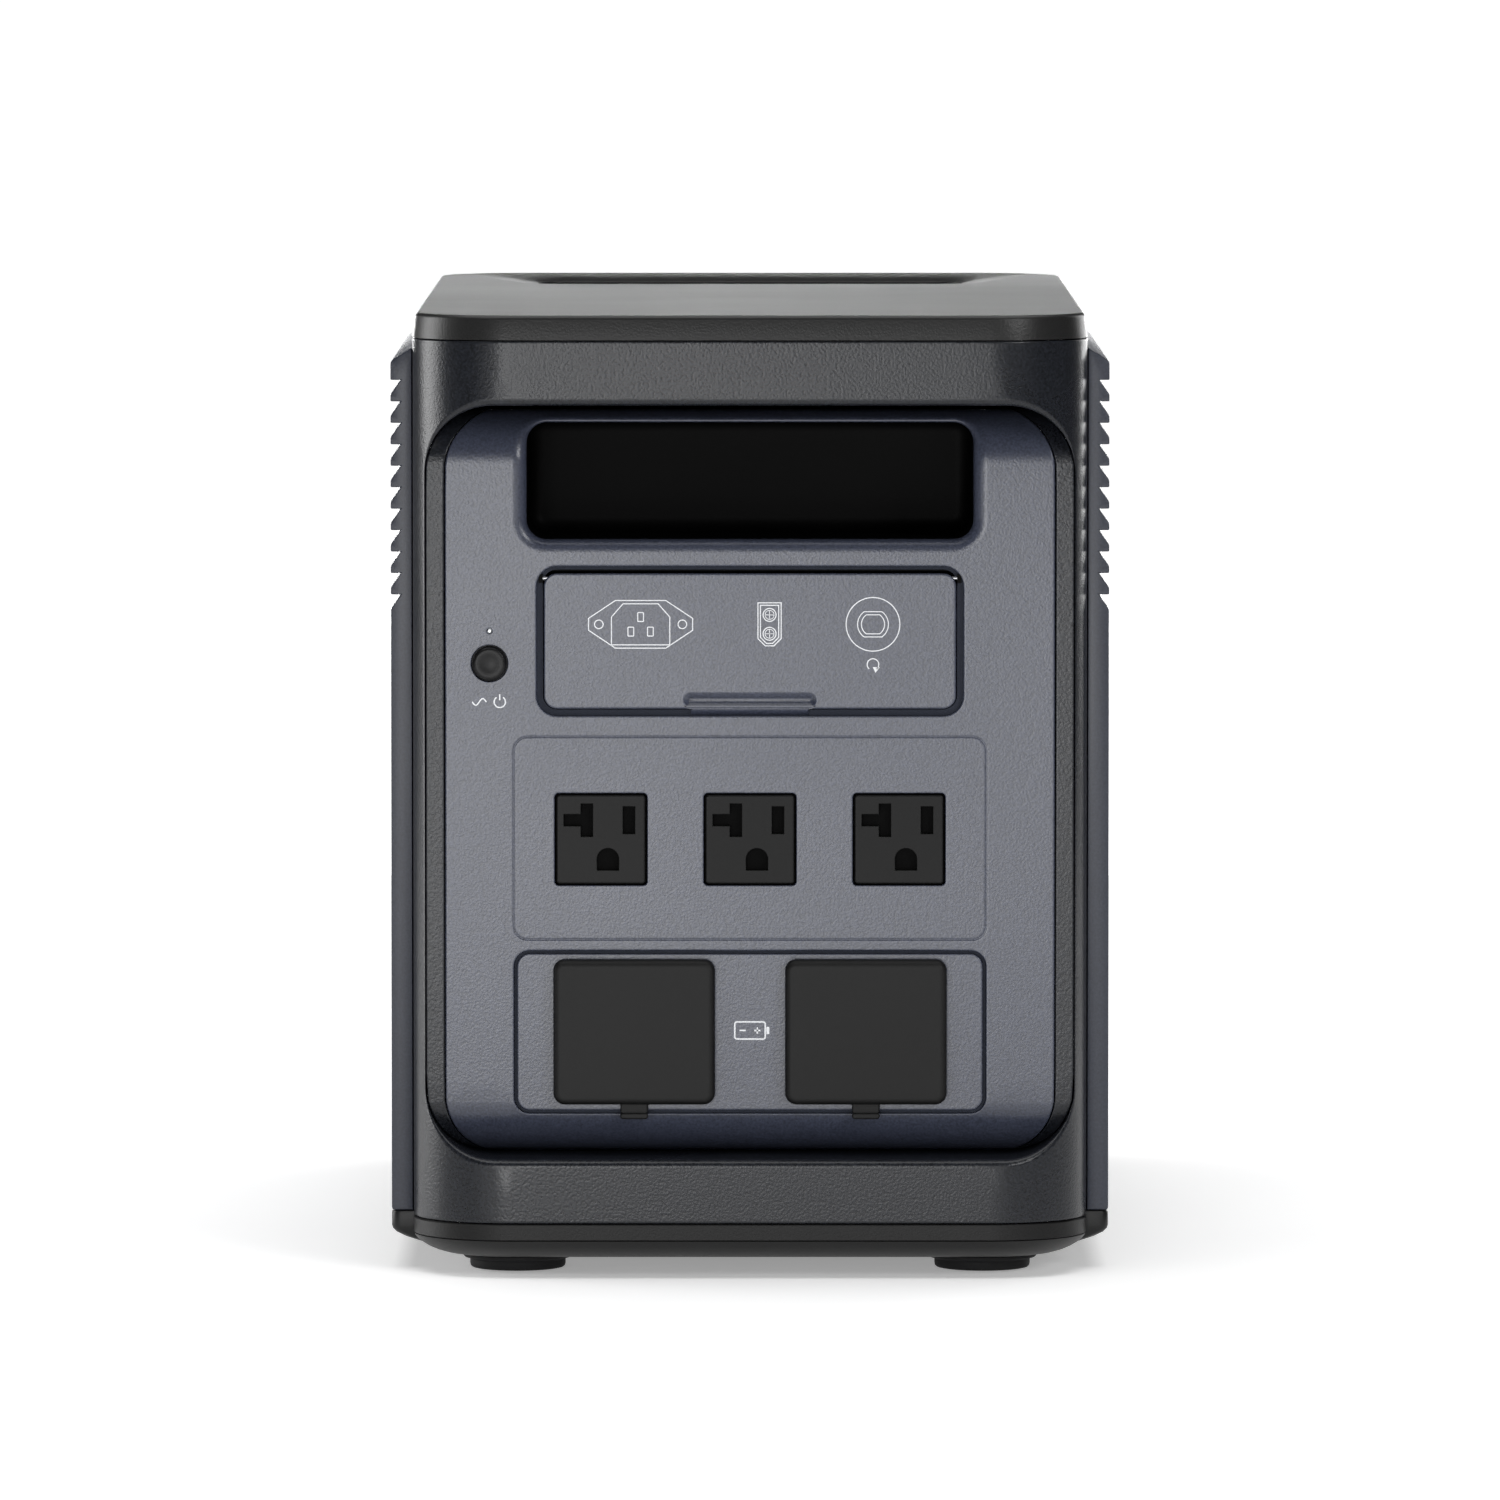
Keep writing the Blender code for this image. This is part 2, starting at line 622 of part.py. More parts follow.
def front_controls(black, clear, board_green):
    """The AC button, its status light and the board behind them."""
    push_button("ac_button", FRONT, AC_BUTTON_XZ, AC_BUTTON_R, black)
    led = (AC_BUTTON_XZ[0], LED_Z)
    front, back = depth(FRONT, PANEL_DEPTH), depth(FRONT, PANEL_DEPTH + 8 * MM)
    piece("status_led", turned("Y", led, [(front, LED_R), (back, LED_R)], 12), clear)
    middle = (AC_BUTTON_XZ[0], 187 * MM)
    half = (7.5 * MM, 13 * MM)
    switch_board("button_board", FRONT, half, middle, [AC_BUTTON_XZ], board_green)


# Outlets and battery ports


def outlet(label, x, plastic, metal):
    """An AC outlet with a T slot, a straight slot and a ground hole, and its contacts."""
    at = (x, OUTLET_Z)
    face = PANEL_DEPTH
    body = facing(FRONT, rounded_rect(OUTLET_HALF, OUTLET_HALF, MM, at, 2), face, 40 * MM)
    body = piece(f"outlet_{label}", body, plastic)
    start = PANEL_DEPTH + PANEL_T + GAP
    join(body, facing(FRONT, rect(16 * MM, 16 * MM, at), start, start + 2 * MM))
    cut(body, facing(FRONT, rect(11.7 * MM, 11.7 * MM, at), face + 4 * MM, 41 * MM))
    middle = x + SLOTS_DX
    neutral = (middle - BLADE_DX, OUTLET_Z + BLADE_DZ)
    arm = (neutral[0] - 3.5 * MM, neutral[1])
    hot = (middle + BLADE_DX, neutral[1])
    ground = (middle, OUTLET_Z + GROUND_DZ)
    slots = (
        rect(1.8 * MM, 5 * MM, neutral),
        rect(3.5 * MM, 1.78 * MM, arm),
        rect(1.83 * MM, 4.15 * MM, hot),
        rounded_rect(3.28 * MM, 3.28 * MM, 3.2 * MM, ground, 3),
    )
    for slot in slots:
        cut(body, facing(FRONT, slot, face - MM, face + 5 * MM))
    sizes = ((neutral, 2.4, 5.2), (hot, 2.4, 5.2), (ground, 3.6, 3.6))
    sleeves = [rect(u * MM, v * MM, place) for place, u, v in sizes]
    plate = rect(11.3 * MM, 11.3 * MM, at)
    contacts = carrier(f"outlet_contacts_{label}", metal, plate, 40 * MM, sleeves, 14 * MM)
    for place, u, v in sizes:
        mouth = rect((u - 0.8) * MM, (v - 0.8) * MM, place)
        cut(contacts, facing(FRONT, mouth, 20 * MM, 34 * MM))


def port_plate(material):
    """The plate round the two battery ports, with a flange behind the panel."""
    middle, half = between(PLATE_LOW, PLATE_HIGH)
    inset = PLATE_GROOVE
    outline = rounded_rect(PLATE_X - inset, half - inset, PLATE_R - inset, (0, middle))
    step = PANEL_DEPTH + 5 * MM
    plate = piece("battery_port_plate", facing(FRONT, outline, PANEL_DEPTH, step), material)
    flange = rect(PLATE_X + 2.7 * MM, half + 1.9 * MM, (0, middle))
    join(plate, facing(FRONT, flange, step - 0.2 * MM, step + 2 * MM))
    for x in PORT_XS:
        hole = rounded_rect(PORT_HALF[0] + GAP, PORT_HALF[1] + GAP, 3.3 * MM, (x, PORT_Z), 2)
        cut(plate, facing(FRONT, hole, 0, 60 * MM))
    return plate


def battery_port(label, x, rubber, plastic, metal):
    """A socket with six contacts, under a rubber cover that hinges along its top."""
    at = (x, PORT_Z)
    start = PANEL_DEPTH
    body = facing(FRONT, rounded_rect(*PORT_HALF, 3 * MM, at, 2), start, 42 * MM)
    body = piece(f"battery_socket_{label}", body, plastic)
    hollow = rounded_rect(17.5 * MM, 12.5 * MM, 2 * MM, at, 2)
    cut(body, facing(FRONT, hollow, start - MM, 43 * MM))
    pins = [rect(0.8 * MM, 2 * MM, (x + dx * MM, PORT_Z + dz * MM))
            for dx in (-10, 0, 10) for dz in (-6, 6)]
    block = rounded_rect(17.2 * MM, 12.2 * MM, 1.7 * MM, at, 2)
    carrier(f"battery_contacts_{label}", metal, block, 41 * MM, pins, 13 * MM)

    pivot = (x, COVER_AXIS_Y, COVER_AXIS_Z)
    radius = COVER_T / 2
    back, front = COVER_AXIS_Y + radius, COVER_AXIS_Y - radius
    edge = arc((front + 2 * MM, COVER_LOW + 2 * MM), 2 * MM, 270, 180, 3)
    outline = [(back, COVER_LOW), *edge, *arc(pivot[1:], radius, 180, 0, 8)]
    cover = prism("X", outline, x - COVER_HALF_X - MM, x + COVER_HALF_X + MM)
    cover = piece(f"battery_cover_{label}", cover, rubber, pivot)
    middle, half = between(COVER_LOW - 0.2 * MM, COVER_HIGH + 0.2 * MM)
    keep(cover, prism("Y", rounded_rect(COVER_HALF_X, half, COVER_R, (x, middle), 3), -FAR, FAR))
    tab = rect(4.2 * MM, 3.4 * MM, (x, 50.2 * MM))
    join(cover, prism("Y", tab, back - 2 * MM, back - 0.2 * MM))
    lip = rounded_rect(4.2 * MM, 0.9 * MM, 0.8 * MM, (x, 47.7 * MM), 2)
    join(cover, prism("Y", lip, back - 3.4 * MM, back - 0.5 * MM))


# Rear end


def rear_ports(plastic, rubber, lens, board_green):
    """The display, the buttons, the USB ports and the car socket with its cap."""
    at = (0.0, LENS_Z)
    display = rounded_rect(*LENS_HALF, 5 * MM, at, 3)
    front = PANEL_DEPTH + 0.2 * MM
    piece("display_lens", facing(REAR, display, front, front + 2.5 * MM), lens)
    push_button("power_button", REAR, POWER_BUTTON_XZ, 6 * MM, plastic)
    push_button("dc_button", REAR, DC_BUTTON_XZ, 5 * MM, plastic)
    half, middle = (66.5 * MM, 25 * MM), (14.5 * MM, LENS_Z)
    switches = [POWER_BUTTON_XZ, DC_BUTTON_XZ]
    board = switch_board("rear_control_board", REAR, half, middle, switches, board_green)
    screen = rect(47 * MM, 21 * MM, at)
    join(board, facing(REAR, screen, front + 2.8 * MM, PANEL_DEPTH + 10 * MM))

    at = (USB_X, REAR_PORT_Z)
    start = PANEL_DEPTH + PANEL_T + GAP
    usb = piece("usb_module", facing(REAR, rounded_rect(*USB_HALF, 3 * MM, at, 2),
                                     PANEL_DEPTH, 36 * MM), plastic)
    flange = rect(USB_HALF[0] + 2.5 * MM, USB_HALF[1] + 2.5 * MM, at)
    join(usb, facing(REAR, flange, start, start + 2 * MM))
    for side in (LEFT, RIGHT):
        wide = rect(6.6 * MM, 2.9 * MM, (USB_X + side * 13 * MM, REAR_PORT_Z + 5.5 * MM))
        slim = rounded_rect(4.6 * MM, 1.7 * MM, 1.6 * MM,
                            (USB_X + side * 13 * MM, REAR_PORT_Z - 5.5 * MM), 2)
        cut(usb, facing(REAR, wide, 0, PANEL_DEPTH + 12 * MM))
        cut(usb, facing(REAR, slim, 0, PANEL_DEPTH + 9 * MM))

    at = (SOCKET_X, REAR_PORT_Z)
    face = depth(REAR, PANEL_DEPTH)
    deep = depth(REAR, PANEL_DEPTH + 42 * MM)
    back = depth(REAR, start)
    profile = [(face, 13 * MM), (back, 13 * MM), (back, 15.5 * MM), (back - 2 * MM, 15.5 * MM)]
    profile += [(back - 2 * MM, 13 * MM), (deep, 13 * MM)]
    socket = piece("car_socket", turned("Y", at, profile), plastic)
    cut(socket, turned("Y", at, [(face + MM, SOCKET_R), (deep + 2 * MM, SOCKET_R)]))

    hinge_y = face + GAP + CAP_T / 2
    hinge_z = REAR_PORT_Z + CAP_R + 3 * MM
    cap = turned("Y", at, [(face + GAP, CAP_R), (face + GAP + 2.2 * MM, CAP_R),
                           (face + GAP + CAP_T, CAP_R - 0.8 * MM)])
    cap = piece("car_socket_cap", cap, rubber, (SOCKET_X, hinge_y, hinge_z))
    join(cap, turned("Y", at, [(face - 2.2 * MM, 9.2 * MM), (face + MM, 9.2 * MM)]))
    strap = [*arc((hinge_y, hinge_z), CAP_T / 2, 0, 180, 6)]
    strap += [(hinge_y - CAP_T / 2, hinge_z - 6 * MM), (hinge_y + CAP_T / 2, hinge_z - 6 * MM)]
    join(cap, prism("X", strap, SOCKET_X - 5 * MM, SOCKET_X + 5 * MM))


def rear_openings():
    """Cutters for the rear panel's openings, each a gap larger than what sits in it."""
    return (
        through_panel(REAR, rounded_rect(LENS_HALF[0] + GAP, LENS_HALF[1] + GAP, 5.3 * MM,
                                         (0, LENS_Z), 3)),
        button_hole(REAR, POWER_BUTTON_XZ, 6 * MM),
        button_hole(REAR, DC_BUTTON_XZ, 5 * MM),
        through_panel(REAR, rounded_rect(USB_HALF[0] + GAP, USB_HALF[1] + GAP, 3.3 * MM,
                                         (USB_X, REAR_PORT_Z), 2)),
        through_panel(REAR, circle(13 * MM + GAP, (SOCKET_X, REAR_PORT_Z))),
    )


def front_openings():
    """Cutters for the front panel's openings."""
    groove = DOOR_GROOVE
    door_mid, door_half = between(DOOR_LOW - groove, DOOR_HIGH + groove)
    plate_mid, plate_half = between(PLATE_LOW, PLATE_HIGH)
    led = (AC_BUTTON_XZ[0], LED_Z)
    openings = [
        through_panel(FRONT, rounded_rect(DOOR_X + groove, door_half, DOOR_R, (0, door_mid))),
        through_panel(FRONT, rounded_rect(PLATE_X, plate_half, PLATE_R, (0, plate_mid))),
        button_hole(FRONT, AC_BUTTON_XZ, AC_BUTTON_R),
        through_panel(FRONT, circle(LED_R + GAP, led, 12)),
    ]
    for x in OUTLET_XS:
        hole = rounded_rect(OUTLET_HALF + GAP, OUTLET_HALF + GAP, 1.3 * MM, (x, OUTLET_Z), 2)
        openings.append(through_panel(FRONT, hole))
    return openings


# Inside


def box(low, high):
    """A box between two corners, in millimetres."""
    return prism("Z", span(low[0] * MM, high[0] * MM, low[1] * MM, high[1] * MM),
                 low[2] * MM, high[2] * MM)


def insides(steel, cell_wrap, board_green, aluminium):
    """The battery pack in its bracket, and the boards round it."""
    pack = box((-84, -100, 8.1), (84, 140, 148))
    pack = piece("battery_pack", pack, cell_wrap)
    for y in (-42, 19, 80):
        cut(pack, box((-90, y, 146), (90, y + 2, 150)))
    bracket = piece("pack_bracket", box((-87, -95, 8.1), (87, 80, 157)), steel)
    cut(bracket, box((-85.5, -96, 0), (85.5, 81, 155.5)))
    for x in (-60, 60):
        for y in (-75, 60):
            post = [(156 * MM, 3 * MM), (165.7 * MM, 3 * MM)]
            join(bracket, turned("Z", (x * MM, y * MM), post, 10))
    bms = piece("bms_board", box((-60, -105, 30), (60, -103.4, 110)), board_green)
    join(bms, box((-50, -110, 80), (-20, -104, 100)), box((5, -109, 40), (45, -104, 60)))
    board = piece("inverter_board", box((-68, -85, 166), (68, 75, 167.6)), board_green)
    join(board, box((-62, -60, 167), (-32, -25, 192)), box((-62, -10, 167), (-32, 25, 192)))
    for y in (-70, -52, 45, 63):
        can = [(167 * MM, 6 * MM), (189 * MM, 6 * MM)]
        join(board, turned("Z", (50 * MM, y * MM), can, 12))
    sink = [(5, 167.9), (60, 167.9)]
    fins = 8
    pitch, thick = 7.6, 1.8
    for i in reversed(range(fins)):
        x = 5 + i * pitch
        sink += [(x + thick, 195), (x, 195)]
        if i:
            sink += [(x, 172), (x - pitch + thick, 172)]
    sink[1] = (5 + (fins - 1) * pitch + thick, 167.9)
    outline = [(x * MM, z * MM) for x, z in sink]
    piece("inverter_heatsink", prism("Y", outline, -38 * MM, 32 * MM), aluminium)


def fan(label, side, black):
    """A square fan frame with its hub plate, and the rotor in its duct."""
    at = (FAN_Y, FAN_Z)

    def along(low, high):
        return sorted((side * low, side * high))

    body = prism("X", rect(FAN_HALF, FAN_HALF, at), *along(FAN_IN, FAN_OUT))
    body = piece(f"fan_frame_{label}", body, black)
    cut(body, prism("X", circle(FAN_DUCT_R, at, 28), *along(FAN_IN - MM, FAN_OUT + MM)))
    hub_back = FAN_IN + 2.5 * MM
    for angle in (90, 210, 330):
        out = (math.cos(math.radians(angle)), math.sin(math.radians(angle)))
        across = (-out[1] * 1.5 * MM, out[0] * 1.5 * MM)
        ends = [(at[0] + out[0] * r, at[1] + out[1] * r) for r in (3 * MM, FAN_DUCT_R + MM)]
        strut = [(ends[0][0] + across[0], ends[0][1] + across[1]),
                 (ends[0][0] - across[0], ends[0][1] - across[1]),
                 (ends[1][0] - across[0], ends[1][1] - across[1]),
                 (ends[1][0] + across[0], ends[1][1] + across[1])]
        join(body, prism("X", strut, *along(FAN_IN + 0.3 * MM, hub_back - 0.3 * MM)))
    join(body, prism("X", circle(12 * MM, at, 20), *along(FAN_IN + 0.1 * MM, hub_back)))

    hub = prism("X", circle(12.5 * MM, at, 21), *along(hub_back + GAP, FAN_OUT - 3 * MM))
    pivot = (side * (FAN_IN + FAN_OUT) / 2, *at)
    rotor = piece(f"fan_rotor_{label}", hub, black, pivot)
    for i in range(FAN_BLADES):
        angle = math.tau * i / FAN_BLADES
        rings = []
        for radius, lead in ((11.5 * MM, 0.0), (26.6 * MM, 0.12)):
            ring = []
            for spread, x in ((-0.2, 84), (-0.12, 84), (0.2, 94), (0.12, 94)):
                turn = angle + (spread * 11.5 * MM / radius) * 1.4 + lead
                ring.append((side * x * MM, at[0] + radius * math.cos(turn),
                             at[1] + radius * math.sin(turn)))
            rings.append(ring)
        join(rotor, blade_solid(rings))


def blade_solid(rings):
    """A closed solid between two rings of four points."""
    bm = bmesh.new()
    inner, outer = [[bm.verts.new(p) for p in ring] for ring in rings]
    bm.faces.new(inner)
    bm.faces.new(outer)
    for i in range(4):
        j = (i + 1) % 4
        bm.faces.new((inner[i], inner[j], outer[j], outer[i]))
    bmesh.ops.recalc_face_normals(bm, faces=bm.faces[:])
    return bm


def build():
    """Makes every piece."""
    for old in list(bpy.data.objects):
        bpy.data.objects.remove(old, do_unlink=True)
    dark = finish("moulded_frame", (0.105, 0.107, 0.115), 0.45)
    blue_grey = finish("blue_grey_panel", (0.20, 0.205, 0.225), 0.42)
    side_grey = finish("side_panel", (0.085, 0.09, 0.105), 0.5)
    grained = finish("grained_lid", (0.075, 0.075, 0.075), 0.6)
    tray_black = finish("tray", (0.032, 0.032, 0.033), 0.6)
    rubber = finish("rubber", (0.02, 0.02, 0.02), 0.7)
    black = finish("black_plastic", (0.025, 0.025, 0.025), 0.45)
    steel = finish("steel", (0.55, 0.55, 0.56), 0.3, 1.0)
    brass = finish("brass_contacts", (0.75, 0.56, 0.25), 0.3, 1.0)
    aluminium = finish("aluminium", (0.7, 0.7, 0.71), 0.35, 1.0)
    red = finish("red_button", (0.45, 0.03, 0.02), 0.4)
    clear = finish("clear_light", (0.8, 0.85, 0.8), 0.2)
    lens = finish("smoked_lens", (0.01, 0.01, 0.012), 0.08)
    board_green = finish("circuit_board", (0.02, 0.12, 0.05), 0.5)
    cell_wrap = finish("cell_wrap", (0.03, 0.10, 0.30), 0.4)

    end_frame("front_frame", FRONT, dark)
    end_frame("rear_frame", REAR, dark)
    cut(end_panel("front_panel", FRONT, blue_grey), *front_openings())
    cut(end_panel("rear_panel", REAR, blue_grey), *rear_openings())
    side_panel("left_side_panel", LEFT, side_grey)
    side_panel("right_side_panel", RIGHT, side_grey)
    top_cover(grained)
    base_tray(tray_black)
    feet(rubber, steel)
    handle_cup(black)
    handle_well(black)
    input_door(blue_grey, steel)
    input_bay(black)
    inputs(black, brass, red)
    front_controls(black, clear, board_green)
    for label, x in zip(("left", "centre", "right"), OUTLET_XS):
        outlet(label, x, black, brass)
    port_plate(blue_grey)
    for label, x in zip(("left", "right"), PORT_XS):
        battery_port(label, x, rubber, black, brass)
    rear_ports(black, rubber, lens, board_green)
    insides(steel, cell_wrap, board_green, aluminium)
    fan("left", LEFT, black)
    fan("right", RIGHT, black)


build()
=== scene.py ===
"""The looks of a portable power station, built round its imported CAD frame.

Every piece is a surface in metres in the CAD's own frame: +Z up, front towards -Y.
"""

import json
import logging
import math
from collections.abc import Callable, Sequence
from dataclasses import dataclass, field
from enum import Enum

import bmesh
import bpy
import numpy as np
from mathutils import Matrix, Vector
from mathutils.geometry import delaunay_2d_cdt


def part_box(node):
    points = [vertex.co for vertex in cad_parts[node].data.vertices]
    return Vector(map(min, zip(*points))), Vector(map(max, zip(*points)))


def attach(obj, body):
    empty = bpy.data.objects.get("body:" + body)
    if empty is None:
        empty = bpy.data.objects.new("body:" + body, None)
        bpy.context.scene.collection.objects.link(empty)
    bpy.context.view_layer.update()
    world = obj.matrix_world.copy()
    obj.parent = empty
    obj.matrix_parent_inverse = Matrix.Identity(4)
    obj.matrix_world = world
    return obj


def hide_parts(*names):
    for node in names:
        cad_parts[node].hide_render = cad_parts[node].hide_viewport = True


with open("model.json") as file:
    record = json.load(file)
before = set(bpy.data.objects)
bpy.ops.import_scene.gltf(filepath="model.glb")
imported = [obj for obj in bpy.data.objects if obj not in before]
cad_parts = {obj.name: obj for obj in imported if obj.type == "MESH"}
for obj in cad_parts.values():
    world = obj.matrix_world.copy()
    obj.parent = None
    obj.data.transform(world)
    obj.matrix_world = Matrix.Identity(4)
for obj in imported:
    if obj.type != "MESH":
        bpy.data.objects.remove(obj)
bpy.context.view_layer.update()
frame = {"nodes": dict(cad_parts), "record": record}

MM = 0.001
GAP = 0.3 * MM
WELD = 2e-6  # points nearer than this are one point
CLEAR = 0.4 * MM  # how far a patch's own points keep from its edges
CASE = "case"  # the CAD body that doesn't move
log = logging.getLogger("power_station")

Place = tuple[float, float]  # a place in a plane
Point = tuple[float, float, float]
Amount = float | np.ndarray  # one value for all points, or one for each of them
Surface = Callable[..., np.ndarray]  # from (n, 2) places, and a distance back, to points
Profile = Sequence[Place]  # pairs that a bead or a lathe carries round
SIDES = ("left", "right")
OUTLETS = ("left", "centre", "right")


class End(Enum):
    """The two ends of the station; the value is the sign of their Y."""

    FRONT = -1
    REAR = 1


class Side(Enum):
    """The two sides of the station; the value is the sign of their X."""

    LEFT = -1
    RIGHT = 1


def low_high(node: str) -> tuple[np.ndarray, np.ndarray]:
    """The lowest and highest corner of a CAD node, as arrays."""
    low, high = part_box(node)
    return np.array(low), np.array(high)


def middle_of(node: str) -> Place:
    """The middle of a CAD node as seen from an end, in (x, z)."""
    low, high = low_high(node)
    return (low[0] + high[0]) / 2, (low[2] + high[2]) / 2


# ---------------------------------------------------------------- outlines


@dataclass
class Outline:
    """A closed line of points in a plane, anticlockwise.

    Args:
        points: an array of (n, 2) places.
    """

    points: np.ndarray

    @staticmethod
    def rounded(half_u: float, half_v: float, radius: float, centre: Place = (0.0, 0.0),
                corner: int = 8, side: int = 10) -> "Outline":
        """A rounded rectangle: four quarter circles joined by evenly split straight sides.

        Args:
            half_u: half the width.
            half_v: half the height.
            radius: the corners' radius.
            centre: the middle.
            corner: steps round each corner.
            side: steps along each straight side.

        Returns:
            An outline of 4 * (corner + side) points, whatever its size.
        """
        turn = np.linspace(0, math.pi / 2, corner + 1)
        lines = []
        signs = np.array([(1, 1), (-1, 1), (-1, -1), (1, -1)], float)
        middles = signs * (half_u - radius, half_v - radius)
        for quarter in range(4):
            angle = turn + quarter * math.pi / 2
            arc = middles[quarter] + radius * np.stack([np.cos(angle), np.sin(angle)], 1)
            nxt = (quarter + 1) % 4
            start = middles[nxt] + radius * np.array(
                [math.cos(nxt * math.pi / 2), math.sin(nxt * math.pi / 2)])
            part = np.linspace(0, 1, side + 1)[1:-1, None]
            lines += [arc, arc[-1] + (start - arc[-1]) * part]
        return Outline(np.concatenate(lines) + np.array(centre))

    @staticmethod
    def circle(radius: float, centre: Place = (0.0, 0.0), steps: int = 48) -> "Outline":
        """A circle of evenly spaced points."""
        angle = np.arange(steps) * math.tau / steps
        return Outline(radius * np.stack([np.cos(angle), np.sin(angle)], 1) + np.array(centre))

    def grown(self, by: Amount) -> "Outline":
        """Each point moved out along the mitre of its two edges.

        Args:
            by: how far, for all points or for each one; negative moves inwards.

        Returns:
            The offset outline, with the points in the same order.
        """
        edge = np.roll(self.points, -1, 0) - self.points
        normal = np.stack([edge[:, 1], -edge[:, 0]], 1)
        normal /= np.linalg.norm(normal, axis=1, keepdims=True)
        before = np.roll(normal, 1, 0)
        mitre = (normal + before) / (1 + (normal * before).sum(1, keepdims=True))
        return Outline(self.points + mitre * np.reshape(by, (-1, 1)))

    def normals(self) -> np.ndarray:
        """The outward direction at each point."""
        step = self.grown(1e-4).points - self.points
        return step / np.linalg.norm(step, axis=1, keepdims=True)

    def holds(self, places: np.ndarray) -> np.ndarray:
        """Which places lie inside, by counting the edges that a ray along u crosses."""
        a = self.points[None]
        b = np.roll(self.points, -1, 0)[None]
        p = places[:, None]
        spans = (a[..., 1] > p[..., 1]) != (b[..., 1] > p[..., 1])
        rise = np.where(b[..., 1] == a[..., 1], 1e-12, b[..., 1] - a[..., 1])
        cross = a[..., 0] + (p[..., 1] - a[..., 1]) * (b[..., 0] - a[..., 0]) / rise
        return (spans & (p[..., 0] < cross)).sum(1) % 2 == 1


# ---------------------------------------------------------------- meshes


@dataclass
class Shell:
    """Gathers grids and patches, and welds them into one closed mesh."""

    points: list[np.ndarray] = field(default_factory=list)
    faces: list[np.ndarray] = field(default_factory=list)
    count: int = 0

    def _add(self, points: np.ndarray, faces: np.ndarray) -> "Shell":
        """Takes points of (n, 3) and faces of (m, 3 or 4)."""
        self.points.append(points)
        self.faces.append(faces + self.count)
        self.count += len(points)
        return self

    def rings(self, rings: np.ndarray, around: bool = False) -> "Shell":
        """A tube through closed rings.

        Args:
            rings: an array of (rings, points, 3).
            around: whether the last ring joins the first.

        Returns:
            The shell itself.
        """
        k, n = rings.shape[:2]
        ids = np.arange(k * n).reshape(k, n)
        if around:
            ids = np.concatenate([ids, ids[:1]])
        a, b = ids[:-1], ids[1:]
        quads = np.stack([a, np.roll(a, -1, 1), np.roll(b, -1, 1), b], -1).reshape(-1, 4)
        return self._add(rings.reshape(-1, 3), quads)

    def sheet(self, grid: np.ndarray) -> "Shell":
        """An open sheet of (rows, columns, 3) points."""
        k, n = grid.shape[:2]
        ids = np.arange(k * n).reshape(k, n)
        quads = np.stack([ids[:-1, :-1], ids[:-1, 1:], ids[1:, 1:], ids[1:, :-1]], -1)
        return self._add(grid.reshape(-1, 3), quads.reshape(-1, 4))

    def cap(self, ring: np.ndarray) -> "Shell":
        """Closes a ring: a narrow strip inside it keeps the shading flat, then a fan."""
        middle = ring.mean(0)
        inner = ring + (middle - ring) * 0.05
        n = len(ring)
        ids = np.arange(n)
        fan = np.stack([ids, (ids + 1) % n, np.full(n, n)], 1)
        self.rings(np.stack([ring, inner]))
        return self._add(np.concatenate([inner, [middle]]), fan)

    def closed(self, rings: Sequence[np.ndarray]) -> "Shell":
        """A tube through closed rings, with a cap over each end."""
        return self.rings(np.asarray(rings)).cap(rings[0]).cap(rings[-1])

    def patch(self, place: Surface, outer: Outline, holes: Sequence[Outline] = (),
              extra: np.ndarray | None = None) -> "Shell":
        """Triangles between an outline and its holes, carried into space.

        Args:
            place: the function from (n, 2) places to (n, 3) points.
            outer: the patch's edge.
            holes: the outlines left open.
            extra: places inside that bend the patch, for a curved one.

        Returns:
            The shell itself.
        """
        loops = [outer, *holes]
        lines = [loop.points for loop in loops]
        edges, start = [], 0
        for line in lines:
            ids = np.arange(len(line))
            edges.append(np.stack([ids, (ids + 1) % len(line)], 1) + start)
            start += len(line)
        if extra is not None and len(extra):
            free = outer.grown(-CLEAR).holds(extra)
            for hole in holes:
                free &= ~hole.grown(CLEAR).holds(extra)
            lines.append(extra[free])
        flat = np.concatenate(lines)
        made = delaunay_2d_cdt(flat.tolist(), np.concatenate(edges).tolist(), [], 0, 1e-9, False)
        places = np.array([tuple(v) for v in made[0]])
        tris = np.array([f for f in made[2] if len(f) == 3])
        middle = places[tris].mean(1)
        keep = outer.holds(middle)
        for hole in holes:
            keep &= ~hole.holds(middle)
        return self._add(place(places), tris[keep])

    def build(self, name: str, sharp: float = 40.0) -> bpy.types.Object:
        """Welds what was gathered into an object with its faces turned outwards.

        Args:
            name: the piece's name.
            sharp: edges that turn more than this many degrees stay sharp.

        Returns:
            The object, at the origin, in the scene.
        """
        points = np.concatenate(self.points)
        faces = [face for group in self.faces for face in group.tolist()]
        mesh = bpy.data.meshes.new(name)
        mesh.from_pydata(points.tolist(), [], faces)
        bm = bmesh.new()
        bm.from_mesh(mesh)
        bmesh.ops.remove_doubles(bm, verts=bm.verts[:], dist=WELD)
        bmesh.ops.dissolve_degenerate(bm, edges=bm.edges[:], dist=WELD / 2)
        loose = [v for v in bm.verts if not v.link_faces]
        bmesh.ops.delete(bm, geom=loose, context="VERTS")
        bmesh.ops.recalc_face_normals(bm, faces=bm.faces[:])
        bm.to_mesh(mesh)
        bm.free()
        mesh.shade_smooth()
        mesh.set_sharp_from_angle(angle=math.radians(sharp))
        made = bpy.data.objects.new(name, mesh)
        bpy.context.scene.collection.objects.link(made)
        return made


